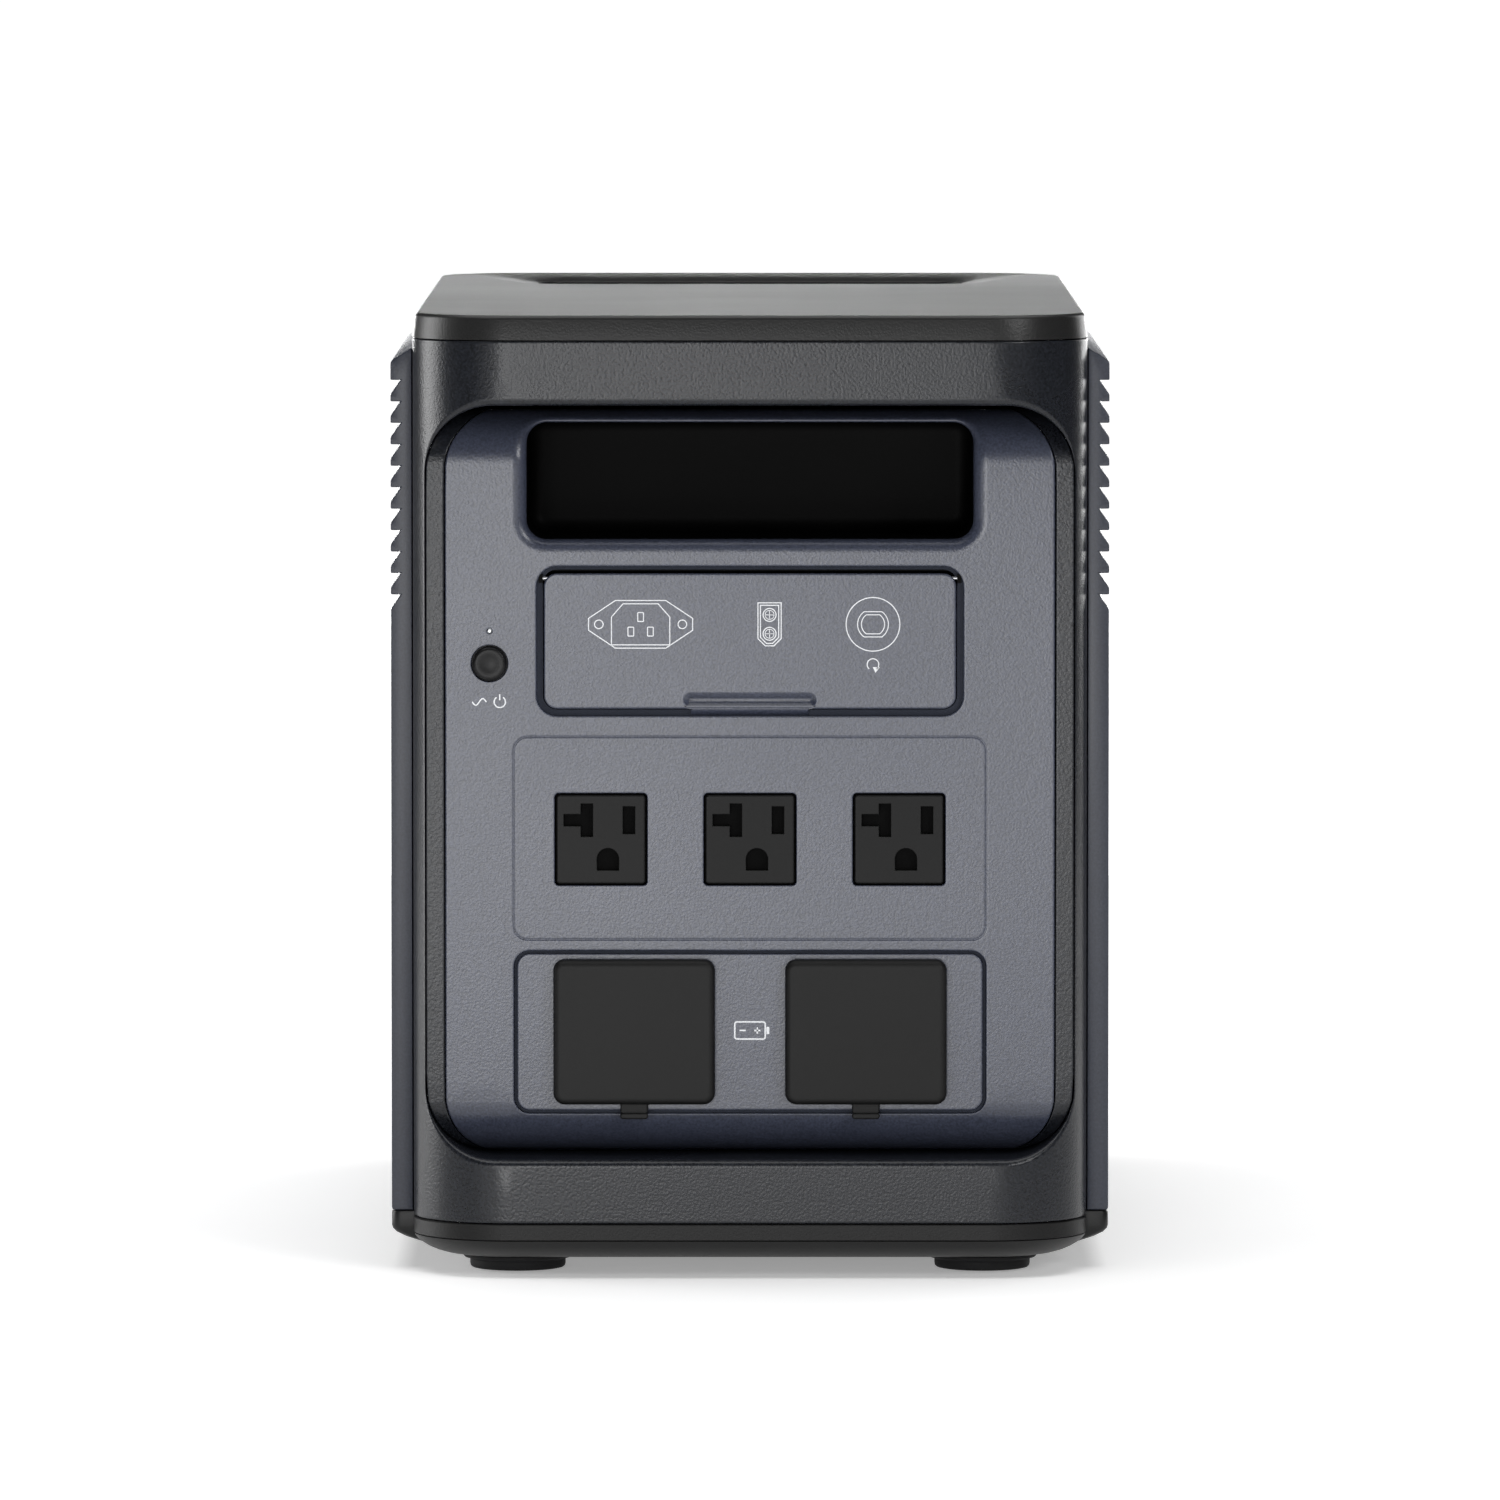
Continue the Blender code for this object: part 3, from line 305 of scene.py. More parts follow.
def fillet(a: np.ndarray, corner: np.ndarray, b: np.ndarray, steps: int = 4) -> np.ndarray:
    """Rings round an edge: the quarter of an ellipse from a to b that bulges to the corner."""
    turn = np.linspace(0, math.pi / 2, steps + 1)[:, None, None]
    return corner + (a - corner) * (1 - np.sin(turn)) + (b - corner) * (1 - np.cos(turn))


def rim(at: Surface, outline: Outline, radius: Amount, deep: Amount, out: int = 1,
        drop: Amount | None = None, steps: int = 4,
        guard: float = 0.3 * MM) -> tuple[np.ndarray, Outline]:
    """Rings from a face, over its rounded edge, and straight back.

    Args:
        at: the surface, a function from places and a distance back to points.
        outline: the edge.
        radius: the rounding across the face, for all points or for each one.
        deep: how far back the wall runs.
        out: 1 where the outline is an opening in the face, -1 where it is the face's own edge.
        drop: the rounding down the wall, where it differs.
        steps: rings in the rounding.
        guard: width of the flat strip before it, which keeps the face's shading flat.

    Returns:
        The rings, and the outline at which the face's patch meets them.
    """
    drop = radius if drop is None else drop
    start = outline.grown(out * (radius + guard))
    over = fillet(at(outline.grown(out * radius).points, 0.0), at(outline.points, 0.0),
                  at(outline.points, drop), steps)
    rings = [at(start.points, 0.0)[None], over, at(outline.points, deep)[None]]
    return np.concatenate(rings), start


def bead(outline: Outline, profile: Profile, place: Surface) -> np.ndarray:
    """A profile carried round an outline.

    Args:
        outline: the path.
        profile: (inset, along) pairs: how far inside the path, and how far along the axis.
        place: the function from places and an along value to points.

    Returns:
        Rings of (profile, points, 3).
    """
    return np.stack([place(outline.grown(-inset).points, along) for inset, along in profile])


def z_axis(p: np.ndarray, along: float) -> np.ndarray:
    """Places (x, y) at Z = along."""
    return np.stack([p[:, 0], p[:, 1], np.full(len(p), along)], 1)


def x_axis(p: np.ndarray, along: float) -> np.ndarray:
    """Places (y, z) at X = along."""
    return np.stack([np.full(len(p), along), p[:, 0], p[:, 1]], 1)


def lathe(centre: Place, profile: Profile, place: Surface, steps: int = 64) -> Shell:
    """A solid of revolution: a profile turned about an axis, with its ends capped.

    Args:
        centre: the axis, in the plane across it.
        profile: (radius, along) pairs.
        place: the function from places and an along value to points.
        steps: points round each ring.

    Returns:
        The closed shell.
    """
    unit = Outline.circle(1.0, steps=steps).points
    rings = np.stack([place(unit * r + np.array(centre), along) for r, along in profile])
    return Shell().closed(rings)


# ---------------------------------------------------------------- finishes


def srgb(*levels: float) -> tuple[float, ...]:
    """A linear colour from levels of 0 to 255 as a screen shows them."""
    return tuple((v / 255 / 12.92) if v <= 10 else ((v / 255 + 0.055) / 1.055) ** 2.4
                 for v in levels)


DRIFT_SCALE = 9.0  # patches of the slow drift, per metre
DRIFT_SPREAD = 0.04  # how far the drift moves the lightness
GLOSS_SPREAD = 0.05  # how far the drift moves the roughness
BUMP_HEIGHT = 0.25 * MM


def new_node(tree: bpy.types.NodeTree, kind: str, **values: float) -> bpy.types.Node:
    """A shader node with some inputs set; an underscore stands for a space in their names."""
    made = tree.nodes.new(f"ShaderNode{kind}")
    for name, value in values.items():
        made.inputs[name.replace("_", " ")].default_value = value
    return made


@dataclass(frozen=True)
class Finish:
    """A moulded surface with fine grain, speckle, slow colour drift and worn gloss.

    Args:
        name: the material's name.
        colour: the linear base colour.
        roughness: the middle roughness.
        grain: size of the grain, in grains per metre.
        depth: how strongly the grain bumps the surface.
        speckle: how much single grains differ in lightness.
        metallic: share of metal flake.
        leather: whether the grain is the cell pattern of leather in place of fine noise.
        specular: the shader's specular level.
        emission: the strength of the light it gives off in its own colour.
    """

    name: str
    colour: tuple[float, ...]
    roughness: float
    grain: float = 2600.0
    depth: float = 0.12
    speckle: float = 0.10
    metallic: float = 0.0
    leather: bool = False
    specular: float = 0.5
    emission: float = 0.0

    def make(self) -> bpy.types.Material:
        """Builds the material once, and returns it again after that."""
        ready = bpy.data.materials.get(self.name)
        if ready:
            return ready
        material = bpy.data.materials.new(self.name)
        material.use_nodes = True
        tree = material.node_tree
        nodes, link = tree.nodes, tree.links.new
        shader = nodes["Principled BSDF"]
        shader.inputs["Metallic"].default_value = self.metallic
        shader.inputs["Specular IOR Level"].default_value = self.specular
        if self.emission:
            shader.inputs["Emission Color"].default_value = (*self.colour, 1.0)
            shader.inputs["Emission Strength"].default_value = self.emission
        where = nodes.new("ShaderNodeTexCoord").outputs["Object"]
        fine = new_node(tree, "TexNoise", Scale=self.grain, Detail=2.0)
        link(where, fine.inputs["Vector"])
        height = self.cells(tree, where) if self.leather else fine.outputs["Fac"]
        drift = new_node(tree, "TexNoise", Scale=DRIFT_SCALE, Detail=3.0)
        link(where, drift.inputs["Vector"])
        link(self.tint(tree, fine.outputs["Fac"], drift.outputs["Fac"]),
             shader.inputs["Base Color"])
        gloss = new_node(tree, "MapRange", To_Min=max(0.02, self.roughness - GLOSS_SPREAD),
                         To_Max=min(1.0, self.roughness + GLOSS_SPREAD))
        link(drift.outputs["Fac"], gloss.inputs["Value"])
        link(gloss.outputs["Result"], shader.inputs["Roughness"])
        if self.depth:
            bump = new_node(tree, "Bump", Strength=self.depth, Distance=BUMP_HEIGHT)
            link(height, bump.inputs["Height"])
            link(bump.outputs["Normal"], shader.inputs["Normal"])
        return material

    def cells(self, tree: bpy.types.NodeTree,
              where: bpy.types.NodeSocket) -> bpy.types.NodeSocket:
        """The height of a leather-like grain: cells whose borders a noise bends a little."""
        link = tree.links.new
        cells = new_node(tree, "TexVoronoi", Scale=self.grain / 2.2)
        cells.feature = "F1"
        warp = new_node(tree, "TexNoise", Scale=self.grain / 3)
        bent = tree.nodes.new("ShaderNodeMix")
        bent.data_type = "VECTOR"
        bent.inputs["Factor"].default_value = 0.0012
        link(where, warp.inputs["Vector"])
        link(where, bent.inputs["A"])
        link(warp.outputs["Color"], bent.inputs["B"])
        link(bent.outputs["Result"], cells.inputs["Vector"])
        return cells.outputs["Distance"]

    def tint(self, tree: bpy.types.NodeTree, fine: bpy.types.NodeSocket,
             drift: bpy.types.NodeSocket) -> bpy.types.NodeSocket:
        """The colour, made lighter and darker by the fine grain and by the slow drift."""
        link = tree.links.new
        colour = tree.nodes.new("ShaderNodeMix")
        colour.data_type = "RGBA"
        dark = tuple(c * (1 - self.speckle) for c in self.colour)
        light = tuple(min(1.0, c * (1 + self.speckle)) for c in self.colour)
        colour.inputs[6].default_value = (*dark, 1.0)
        colour.inputs[7].default_value = (*light, 1.0)
        spread = new_node(tree, "MapRange", From_Min=0.3, From_Max=0.7)
        link(fine, spread.inputs["Value"])
        link(spread.outputs["Result"], colour.inputs["Factor"])
        value = new_node(tree, "MapRange", To_Min=1 - DRIFT_SPREAD, To_Max=1 + DRIFT_SPREAD)
        link(drift, value.inputs["Value"])
        slow = tree.nodes.new("ShaderNodeHueSaturation")
        link(value.outputs["Result"], slow.inputs["Value"])
        link(colour.outputs[2], slow.inputs["Color"])
        return slow.outputs["Color"]


FRAME_GREY = Finish("frame_grey", srgb(24, 26, 31), 0.28, grain=1200, depth=0.34,
                    speckle=0.50, specular=0.33)
PANEL_GREY = Finish("panel_blue_grey", srgb(55, 59, 73), 0.30, grain=1400, depth=0.22,
                    speckle=0.32, specular=0.58)
# Painted shade: the grooves' floors are the panel's blue grey painted darker, for the shade down
# in the groove round the door and the battery plate.
GROOVE_SHADE_GREY = Finish("groove_blue_grey", srgb(40, 44, 55), 0.6, depth=0.05, specular=0.15)
SIDE_GREY = Finish("side_blue_grey", srgb(40, 44, 56), 0.40, grain=1400, depth=0.12,
                   speckle=0.20)
LID_GRAIN = Finish("lid_grain", srgb(31, 31, 31), 0.36, grain=3000, depth=0.14, leather=True,
                   speckle=0.10, specular=0.30)
TRAY_GRAIN = Finish("tray_grain", srgb(17, 17, 17), 0.46, grain=3000, depth=0.16, leather=True,
                    speckle=0.10, specular=0.25)
TRAY_SMOOTH = Finish("tray_smooth", srgb(19, 19, 19), 0.42, depth=0.05, specular=0.3)
RUBBER = Finish("black_rubber", srgb(16, 16, 16), 0.52, depth=0.06, speckle=0.06,
                specular=0.22)
FOOT_RUBBER = Finish("foot_rubber", srgb(24, 24, 25), 0.7, depth=0.10, specular=0.2)
# Black plastic, painted darker still for the shade deep in the hand pocket, the hand well and the
# input bay.
POCKET_SHADE_BLACK = Finish("pocket_black", srgb(4, 4, 4), 0.5, depth=0.05, specular=0.05)
SATIN_BLACK = Finish("satin_black", srgb(14, 14, 14), 0.42, depth=0.05, specular=0.15)
# Painted shade: near black, darker than the outlets' black plastic, for the shade inside their
# slots.
SLOT_SHADE_BLACK = Finish("shutter_black", srgb(4, 4, 4), 0.6, depth=0.05, specular=0.05)
BUTTON_BLACK = Finish("button_black", srgb(15, 15, 16), 0.36, depth=0.03, speckle=0.04,
                      specular=0.2)
PRINT = Finish("light_print", srgb(225, 227, 230), 0.6, depth=0.02, speckle=0.02,
               specular=0.2)
LIGHT_DOT = Finish("light_dot", srgb(225, 228, 230), 0.3, depth=0.0, emission=0.4)
LENS_BLACK = Finish("lens_black", srgb(9, 9, 11), 0.08, depth=0.0, speckle=0.02)
RED_BUTTON = Finish("red_button", srgb(150, 26, 20), 0.38, depth=0.02)
BRASS = Finish("brass_plate", (0.72, 0.52, 0.22), 0.32, metallic=1.0, depth=0.04)
STEEL = Finish("zinc_steel", (0.52, 0.53, 0.55), 0.35, metallic=1.0, depth=0.05)
ALUMINIUM = Finish("plain_aluminium", (0.68, 0.69, 0.70), 0.38, metallic=1.0, depth=0.05)
BOARD_GREEN = Finish("board_green", (0.015, 0.11, 0.04), 0.45, grain=900, depth=0.15)
FILTER_FOAM = Finish("filter_foam", srgb(18, 18, 19), 0.9, grain=900, depth=0.8, speckle=0.35,
                     specular=0.1)
CELL_BLUE = Finish("cell_blue", (0.02, 0.08, 0.26), 0.4, grain=300, depth=0.1)
SEGMENTS = Finish("display_segments_grey", srgb(120, 150, 165), 0.4, depth=0.0, emission=0.25)
DOME = Finish("white_dome", (1.0, 1.0, 1.0), 1.0, depth=0.0, speckle=0.0, emission=1.0)
FLOOR = Finish("pale_floor", (0.90, 0.90, 0.90), 0.8, grain=40, depth=0.0, speckle=0.004,
               emission=0.32)


def dress(piece: bpy.types.Object, finish: Finish, body: str = CASE,
          replaces: tuple[str, ...] = ()) -> bpy.types.Object:
    """Gives a piece its material, its body and the nodes it stands for.

    Args:
        piece: the new object.
        finish: its finish.
        body: the CAD body it rides on.
        replaces: the CAD nodes it hides.

    Returns:
        The piece.
    """
    piece.data.materials.append(finish.make())
    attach(piece, body)
    if replaces:
        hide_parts(*replaces)
    return piece


# ---------------------------------------------------------------- surfaces of the case

BODY_LOW, BODY_HIGH = low_high("top_cover")
BODY_X, BODY_Y = BODY_HIGH[0], BODY_HIGH[1]
LID_LOW, LID_HIGH = BODY_LOW[2], BODY_HIGH[2]
CORNER = 30 * MM
WALL = 3 * MM
PANEL_LOW, PANEL_HIGH = low_high("front_panel")
FACE_DEPTH = PANEL_LOW[1] + BODY_Y  # the panels' face behind the end plane
ROLL = 16 * MM
PANEL_X = 92 * MM
PANEL_R = 19 * MM
FLANGE = 1.3 * MM  # a button's flange past its cap
PORTS_X = 71.3 * MM  # half the width of the outlets' and the battery ports' fields
DOOR_LOW = 170.8 * MM
GROOVE = 2.2 * MM  # the groove's width round the door


@dataclass(frozen=True)
class Flat:
    """A plane across one end, at a depth behind the end's own plane."""

    end: End
    depth: float

    def at(self, p: np.ndarray, back: Amount = 0.0) -> np.ndarray:
        """Places (x, z) on the plane, or a distance behind it."""
        y = self.end.value * (BODY_Y - self.depth - back)
        return np.stack([p[:, 0], np.broadcast_to(y, len(p)), p[:, 1]], 1)


FRONT_FACE = Flat(End.FRONT, FACE_DEPTH)
REAR_FACE = Flat(End.REAR, FACE_DEPTH)


@dataclass(frozen=True)
class Rolled:
    """A panel's face: flat between its rolls, a quarter cylinder at its top and bottom.

    Places are (x, t): t is Z on the flat part and goes on as arc length round each roll.
    """

    end: End
    depth: float = FACE_DEPTH
    low: float = PANEL_LOW[2] + ROLL
    high: float = PANEL_HIGH[2] - ROLL

    def unroll(self, outline: Outline) -> Outline:
        """An outline of (x, z) places as (x, t) places."""
        x, z = outline.points.T
        over = np.clip(z - self.high, 0, ROLL) - np.clip(self.low - z, 0, ROLL)
        t = np.clip(z, self.low, self.high) + ROLL * np.arcsin(over / ROLL)
        return Outline(np.stack([x, t], 1))

    def height(self, t: np.ndarray) -> np.ndarray:
        """The Z of each t."""
        turn = (t - np.clip(t, self.low, self.high)) / ROLL
        return np.clip(t, self.low, self.high) + ROLL * np.sin(turn)

    def at(self, p: np.ndarray, back: Amount = 0.0) -> np.ndarray:
        """Places (x, t) on the face, or a distance straight back from it."""
        turn = (p[:, 1] - np.clip(p[:, 1], self.low, self.high)) / ROLL
        depth = self.depth + ROLL * (1 - np.cos(turn)) + back
        return np.stack([p[:, 0], self.end.value * (BODY_Y - depth), self.height(p[:, 1])], 1)


@dataclass(frozen=True)
class Wrapped:
    """The body's wall round one end. Places are (s, z), s the distance round from the middle."""

    end: End
    flat: float = BODY_X - CORNER
    reach: float = 20 * MM  # how far the wall runs on past its rounded corners

    @property
    def half(self) -> float:
        """The greatest s."""
        return self.flat + CORNER * math.pi / 2 + self.reach

    def unroll(self, outline: Outline, inward: float = 0.0) -> Outline:
        """An outline of (x, z) places on the wall, or inside it, as (s, z) places."""
        x, z = outline.points.T
        past = np.clip(np.abs(x) - self.flat, 0, CORNER - inward)
        s = np.sign(x) * (np.minimum(np.abs(x), self.flat)
                          + CORNER * np.arcsin(past / (CORNER - inward)))
        return Outline(np.stack([s, z], 1))

    def at(self, p: np.ndarray, inward: float = 0.0) -> np.ndarray:
        """Places (s, z) on the wall, or a distance inside it."""
        s = np.abs(p[:, 0])
        turn = np.clip((s - self.flat) / CORNER, 0, math.pi / 2)
        past = np.clip(s - self.flat - CORNER * math.pi / 2, 0, None)
        x = np.minimum(s, self.flat) + (CORNER - inward) * np.sin(turn)
        depth = CORNER - (CORNER - inward) * np.cos(turn) + past
        return np.stack([np.sign(p[:, 0]) * x, self.end.value * (BODY_Y - depth), p[:, 1]], 1)

    def seen(self, p: np.ndarray, back: Amount = 0.0) -> np.ndarray:
        """Places (x, z) on the wall as seen from the end, or a distance straight back."""
        past = np.clip(np.abs(p[:, 0]) - self.flat, 0, CORNER)
        depth = CORNER - np.sqrt(CORNER**2 - past**2) + back
        return np.stack([p[:, 0], self.end.value * (BODY_Y - depth), p[:, 1]], 1)


def case_outline(inset: float = 0.0) -> Outline:
    """The body from above."""
    return Outline.rounded(BODY_X - inset, BODY_Y - inset, CORNER - inset, corner=20, side=16)


def upright_rect(x: float, low: float, high: float, radius: float, centre_x: float = 0.0,
                 corner: int = 8, side: int = 10) -> Outline:
    """A rounded rectangle as seen from an end, between two heights.

    Args:
        x: half its width.
        low: its lowest Z.
        high: its highest Z.
        radius: its corners' radius.
        centre_x: the X of its middle.
        corner: steps round each corner.
        side: steps along each straight side.

    Returns:
        The outline in (x, z).
    """
    return Outline.rounded(x, (high - low) / 2, radius, (centre_x, (low + high) / 2),
                           corner, side)


def rectangle(half: float, low: float, high: float) -> Outline:
    """A plain rectangle between two heights."""
    return Outline(np.array([(-half, low), (half, low), (half, high), (-half, high)]))


# ---------------------------------------------------------------- case pieces


@dataclass
class EndFrame:
    """The dark moulded frame round one end, with its window, tunnel and ledge."""

    end: End
    low: float = low_high("front_frame")[0][2]
    high: float = low_high("front_frame")[1][2]
    window_x: float = 98.1 * MM
    window_low: float = 35.5 * MM
    window_high: float = 262.9 * MM
    window_r: float = 21 * MM
    tunnel: float = 34 * MM
    edge: float = 0.5 * MM

    @property
    def name(self) -> str:
        """The CAD node's name."""
        return f"{self.end.name.lower()}_frame"

    def window(self) -> Outline:
        """The window as seen from the end."""
        return upright_rect(self.window_x, self.window_low, self.window_high, self.window_r,
                            corner=18, side=24)

    def border(self, wrap: Wrapped) -> Outline:
        """The wall's own edge in (s, z), with points wherever it bends."""
        bend = wrap.flat + CORNER * np.linspace(0, math.pi / 2, 25)
        half = np.concatenate([np.linspace(0, wrap.flat, 9)[:-1], bend, [wrap.half]])
        s = np.concatenate([-half[::-1], half[1:]])
        z = np.linspace(self.low, self.high, 21)[1:-1]
        up = np.stack([np.full(len(z), wrap.half), z], 1)
        down = np.stack([np.full(len(z), -wrap.half), z[::-1]], 1)
        top = np.stack([s[::-1], np.full(len(s), self.high)], 1)
        bottom = np.stack([s, np.full(len(s), self.low)], 1)
        return Outline(np.concatenate([bottom, up, top, down]))

    def wall(self) -> bpy.types.Object:
        """The wrapped wall: its window has a lip that rolls into a tunnel behind it."""
        wrap = Wrapped(self.end)
        window = self.window()
        flatness = np.abs(window.normals()[:, 1])
        lip = (0.35 + 1.75 * flatness**1.5) * MM
        rings, start = rim(wrap.seen, window, lip, lip + 0.2 * MM, steps=6)
        shell = Shell().rings(rings)
        grown = window.grown((0.6 + 2.4 * flatness) * MM)
        hole = wrap.unroll(grown, WALL)
        back = Flat(self.end, self.tunnel)
        shell.rings(np.stack([rings[-1], back.at(window.points), back.at(grown.points),
                              wrap.at(hole.points, WALL)]))
        border = self.border(wrap)
        edge_rings, face = rim(wrap.at, border, self.edge, WALL, out=-1)
        shell.rings(edge_rings)
        columns = wrap.flat + CORNER * np.linspace(0, math.pi / 2, 25)
        z = np.linspace(self.low, self.high, 34)[1:-1]
        s, z = np.meshgrid(np.concatenate([-columns, columns]), z)
        bends = np.stack([s.ravel(), z.ravel()], 1)
        shell.patch(wrap.at, face, [wrap.unroll(start)], bends)
        shell.patch(lambda p: wrap.at(p, WALL), border, [hole], bends)
        return dress(shell.build(f"{self.name}_wall"), FRAME_GREY,
                     replaces=(self.name,))

    def ledges(self) -> list[bpy.types.Object]:
        """The two strips beside the panel, which follow its rolls: grids of (t, across)."""
        face = Rolled(self.end)
        t = np.concatenate([
            face.low - ROLL * np.linspace(math.pi / 2, 0, 13)[:-1],
            np.linspace(face.low, face.high, 25),
            face.high + ROLL * np.linspace(0, math.pi / 2, 13)[1:]])
        z = face.height(t)
        outer = half_width(z, self.window_x - GAP, self.window_low + GAP,
                           self.window_high - GAP, self.window_r - GAP)
        inner = half_width(z, PANEL_X + GAP, PANEL_LOW[2] - 1.3 * MM, PANEL_HIGH[2] + 1.3 * MM,
                           PANEL_R + GAP)
        edge = np.array([0, 0, 0.08, 0.25, 0.6]) * MM
        drop = np.array([3, 0.25, 0.08, 0, 0]) * MM
        made = []
        for side in Side:
            across = np.concatenate([inner[:, None] + edge, outer[:, None] - edge[::-1]], 1)
            back = np.broadcast_to(np.concatenate([drop, drop[::-1]]), across.shape)
            places = np.stack([side.value * across, np.broadcast_to(t[:, None], across.shape)], -1)
            rings = face.at(places.reshape(-1, 2), back.ravel()).reshape(*across.shape, 3)
            strip = Shell().closed(rings)
            name = f"{self.name}_ledge_{side.name.lower()}"
            made.append(dress(strip.build(name), FRAME_GREY))
        return made

    def build(self) -> None:
        """Makes the wall and the ledges."""
        self.wall()
        self.ledges()


def half_width(z: np.ndarray, half_x: float, low: float, high: float, radius: float) -> np.ndarray:
    """How far a rounded rectangle reaches from the middle at each height.

    Args:
        z: the heights.
        half_x: half its width.
        low: its lowest height.
        high: its highest height.
        radius: its corners' radius.

    Returns:
        The half width at each z: a circle's sagitta within a radius of the top and bottom.
    """
    over = np.clip(z - (high - radius), 0, radius) + np.clip((low + radius) - z, 0, radius)
    return half_x - radius + np.sqrt(radius**2 - over**2)


@dataclass
class Opening:
    """A rounded opening in a panel.

    Args:
        outline: its edge in (x, z).
        radius: the rounding across the face.
        drop: the rounding into the depth, where it differs.
    """

    outline: Outline
    radius: float | np.ndarray
    drop: float | None = None


@dataclass
class EndPanel:
    """The recessed face of one end, rolled back at its top and bottom."""

    end: End
    openings: list[Opening]
    emboss: Outline | None = None  # a fine line pressed round some of the openings
    inside: list[Opening] = field(default_factory=list)  # the openings within that line
    thick: float = 3 * MM
    edge: float = 0.45 * MM

    def border(self, face: Rolled) -> Outline:
        """The panel's edge in (x, t), anticlockwise from the bottom left."""
        roll = ROLL * np.linspace(0, math.pi / 2, 15)
        t = np.concatenate([face.low - roll[::-1], np.linspace(face.low, face.high, 25)[1:-1],
                            face.high + roll])
        x = half_width(face.height(t), PANEL_X, PANEL_LOW[2] - MM, PANEL_HIGH[2] + MM, PANEL_R)
        part = np.linspace(-1, 1, 25)[1:-1]
        bottom = np.stack([x[0] * part, np.full(len(part), t[0])], 1)
        top = np.stack([-x[-1] * part, np.full(len(part), t[-1])], 1)
        right = np.stack([x, t], 1)
        left = np.stack([-x[::-1], t[::-1]], 1)
        return Outline(np.concatenate([bottom, right, top, left]))

    def bends(self, face: Rolled) -> np.ndarray:
        """Places on the two rolls, in rows 1.8 mm apart, and on the flat between them."""
        roll = ROLL * np.linspace(0.02, math.pi / 2, 15)
        flat = np.linspace(face.low, face.high, 30)[1:-1]
        t, x = np.meshgrid(np.concatenate([face.low - roll, flat, face.high + roll]),
                           np.linspace(-PANEL_X, PANEL_X, 41))
        return np.stack([x.ravel(), t.ravel()], 1)

    def build(self) -> bpy.types.Object:
        """The panel as a closed sheet with a rounded edge at each opening."""
        face = Rolled(self.end)
        border = self.border(face)
        shell = Shell()
        rings, outer = rim(face.at, border, self.edge, self.thick, out=-1)
        shell.rings(rings)
        holes, backs, inner_holes = [], [], []
        groups = [(self.openings, holes), (self.inside, inner_holes)]
        for openings, starts in groups:
            for opening in openings:
                line = face.unroll(opening.outline)
                rings, start = rim(face.at, line, opening.radius, self.thick,
                                   drop=opening.drop, steps=6)
                shell.rings(rings)
                starts.append(start)
                backs.append(line)
        if self.emboss:
            line = face.unroll(self.emboss)
            rings = [face.at(line.grown(w * MM).points, d * MM) for w, d in
                     ((0.8, 0), (0.42, 0), (0.26, 0.03), (0.1, 0.1), (-0.1, 0.1),
                      (-0.26, 0.03), (-0.42, 0), (-0.8, 0))]
            shell.rings(np.stack(rings))
            holes.append(line.grown(0.8 * MM))
            shell.patch(face.at, line.grown(-0.8 * MM), inner_holes, self.bends(face))
        shell.patch(face.at, outer, holes, self.bends(face))
        shell.patch(lambda p: face.at(p, self.thick), border, backs, self.bends(face))
        name = f"{self.end.name.lower()}_panel"
        return dress(shell.build(f"{name}_face", sharp=50), PANEL_GREY,
                     replaces=(name,))


@dataclass
class HandPocket:
    """The black cup behind the front panel's hand opening."""

    mouth: Outline
    start: float = 3.2 * MM  # behind the panel's face
    back: float = 58.8 * MM  # the inner back wall
    wall: float = 2 * MM
    corner: float = 4.6 * MM

    def rings(self, mouth: Outline, back: float, corner: float, steps: int = 8) -> np.ndarray:
        """The cup's wall from its mouth, rounded into its back."""
        face = Rolled(End.FRONT)
        turn = np.linspace(0, math.pi / 2, steps + 1)
        rings = [face.at(face.unroll(mouth).points, self.start)]
        for a in turn:
            inset = corner * (1 - math.cos(a))
            depth = back - corner * (1 - math.sin(a))
            rings.append(Flat(End.FRONT, depth).at(mouth.grown(-inset).points))
        rings.append(Flat(End.FRONT, back).at(mouth.grown(-corner - 0.5 * MM).points))
        return np.stack(rings)

    def build(self) -> bpy.types.Object:
        """The cup as a closed shell of an inner and an outer wall."""
        inner = self.rings(self.mouth, self.back, self.corner)
        outer = self.rings(self.mouth.grown(self.wall), self.back + self.wall, self.corner)
        shell = Shell().rings(np.concatenate([inner[::-1], outer]))
        shell.cap(inner[-1]).cap(outer[-1])
        # Black plastic, painted darker still for the shade deep in the pocket.
        return dress(shell.build("front_pocket_cup"), POCKET_SHADE_BLACK,
                     replaces=("front_handle_cup",))


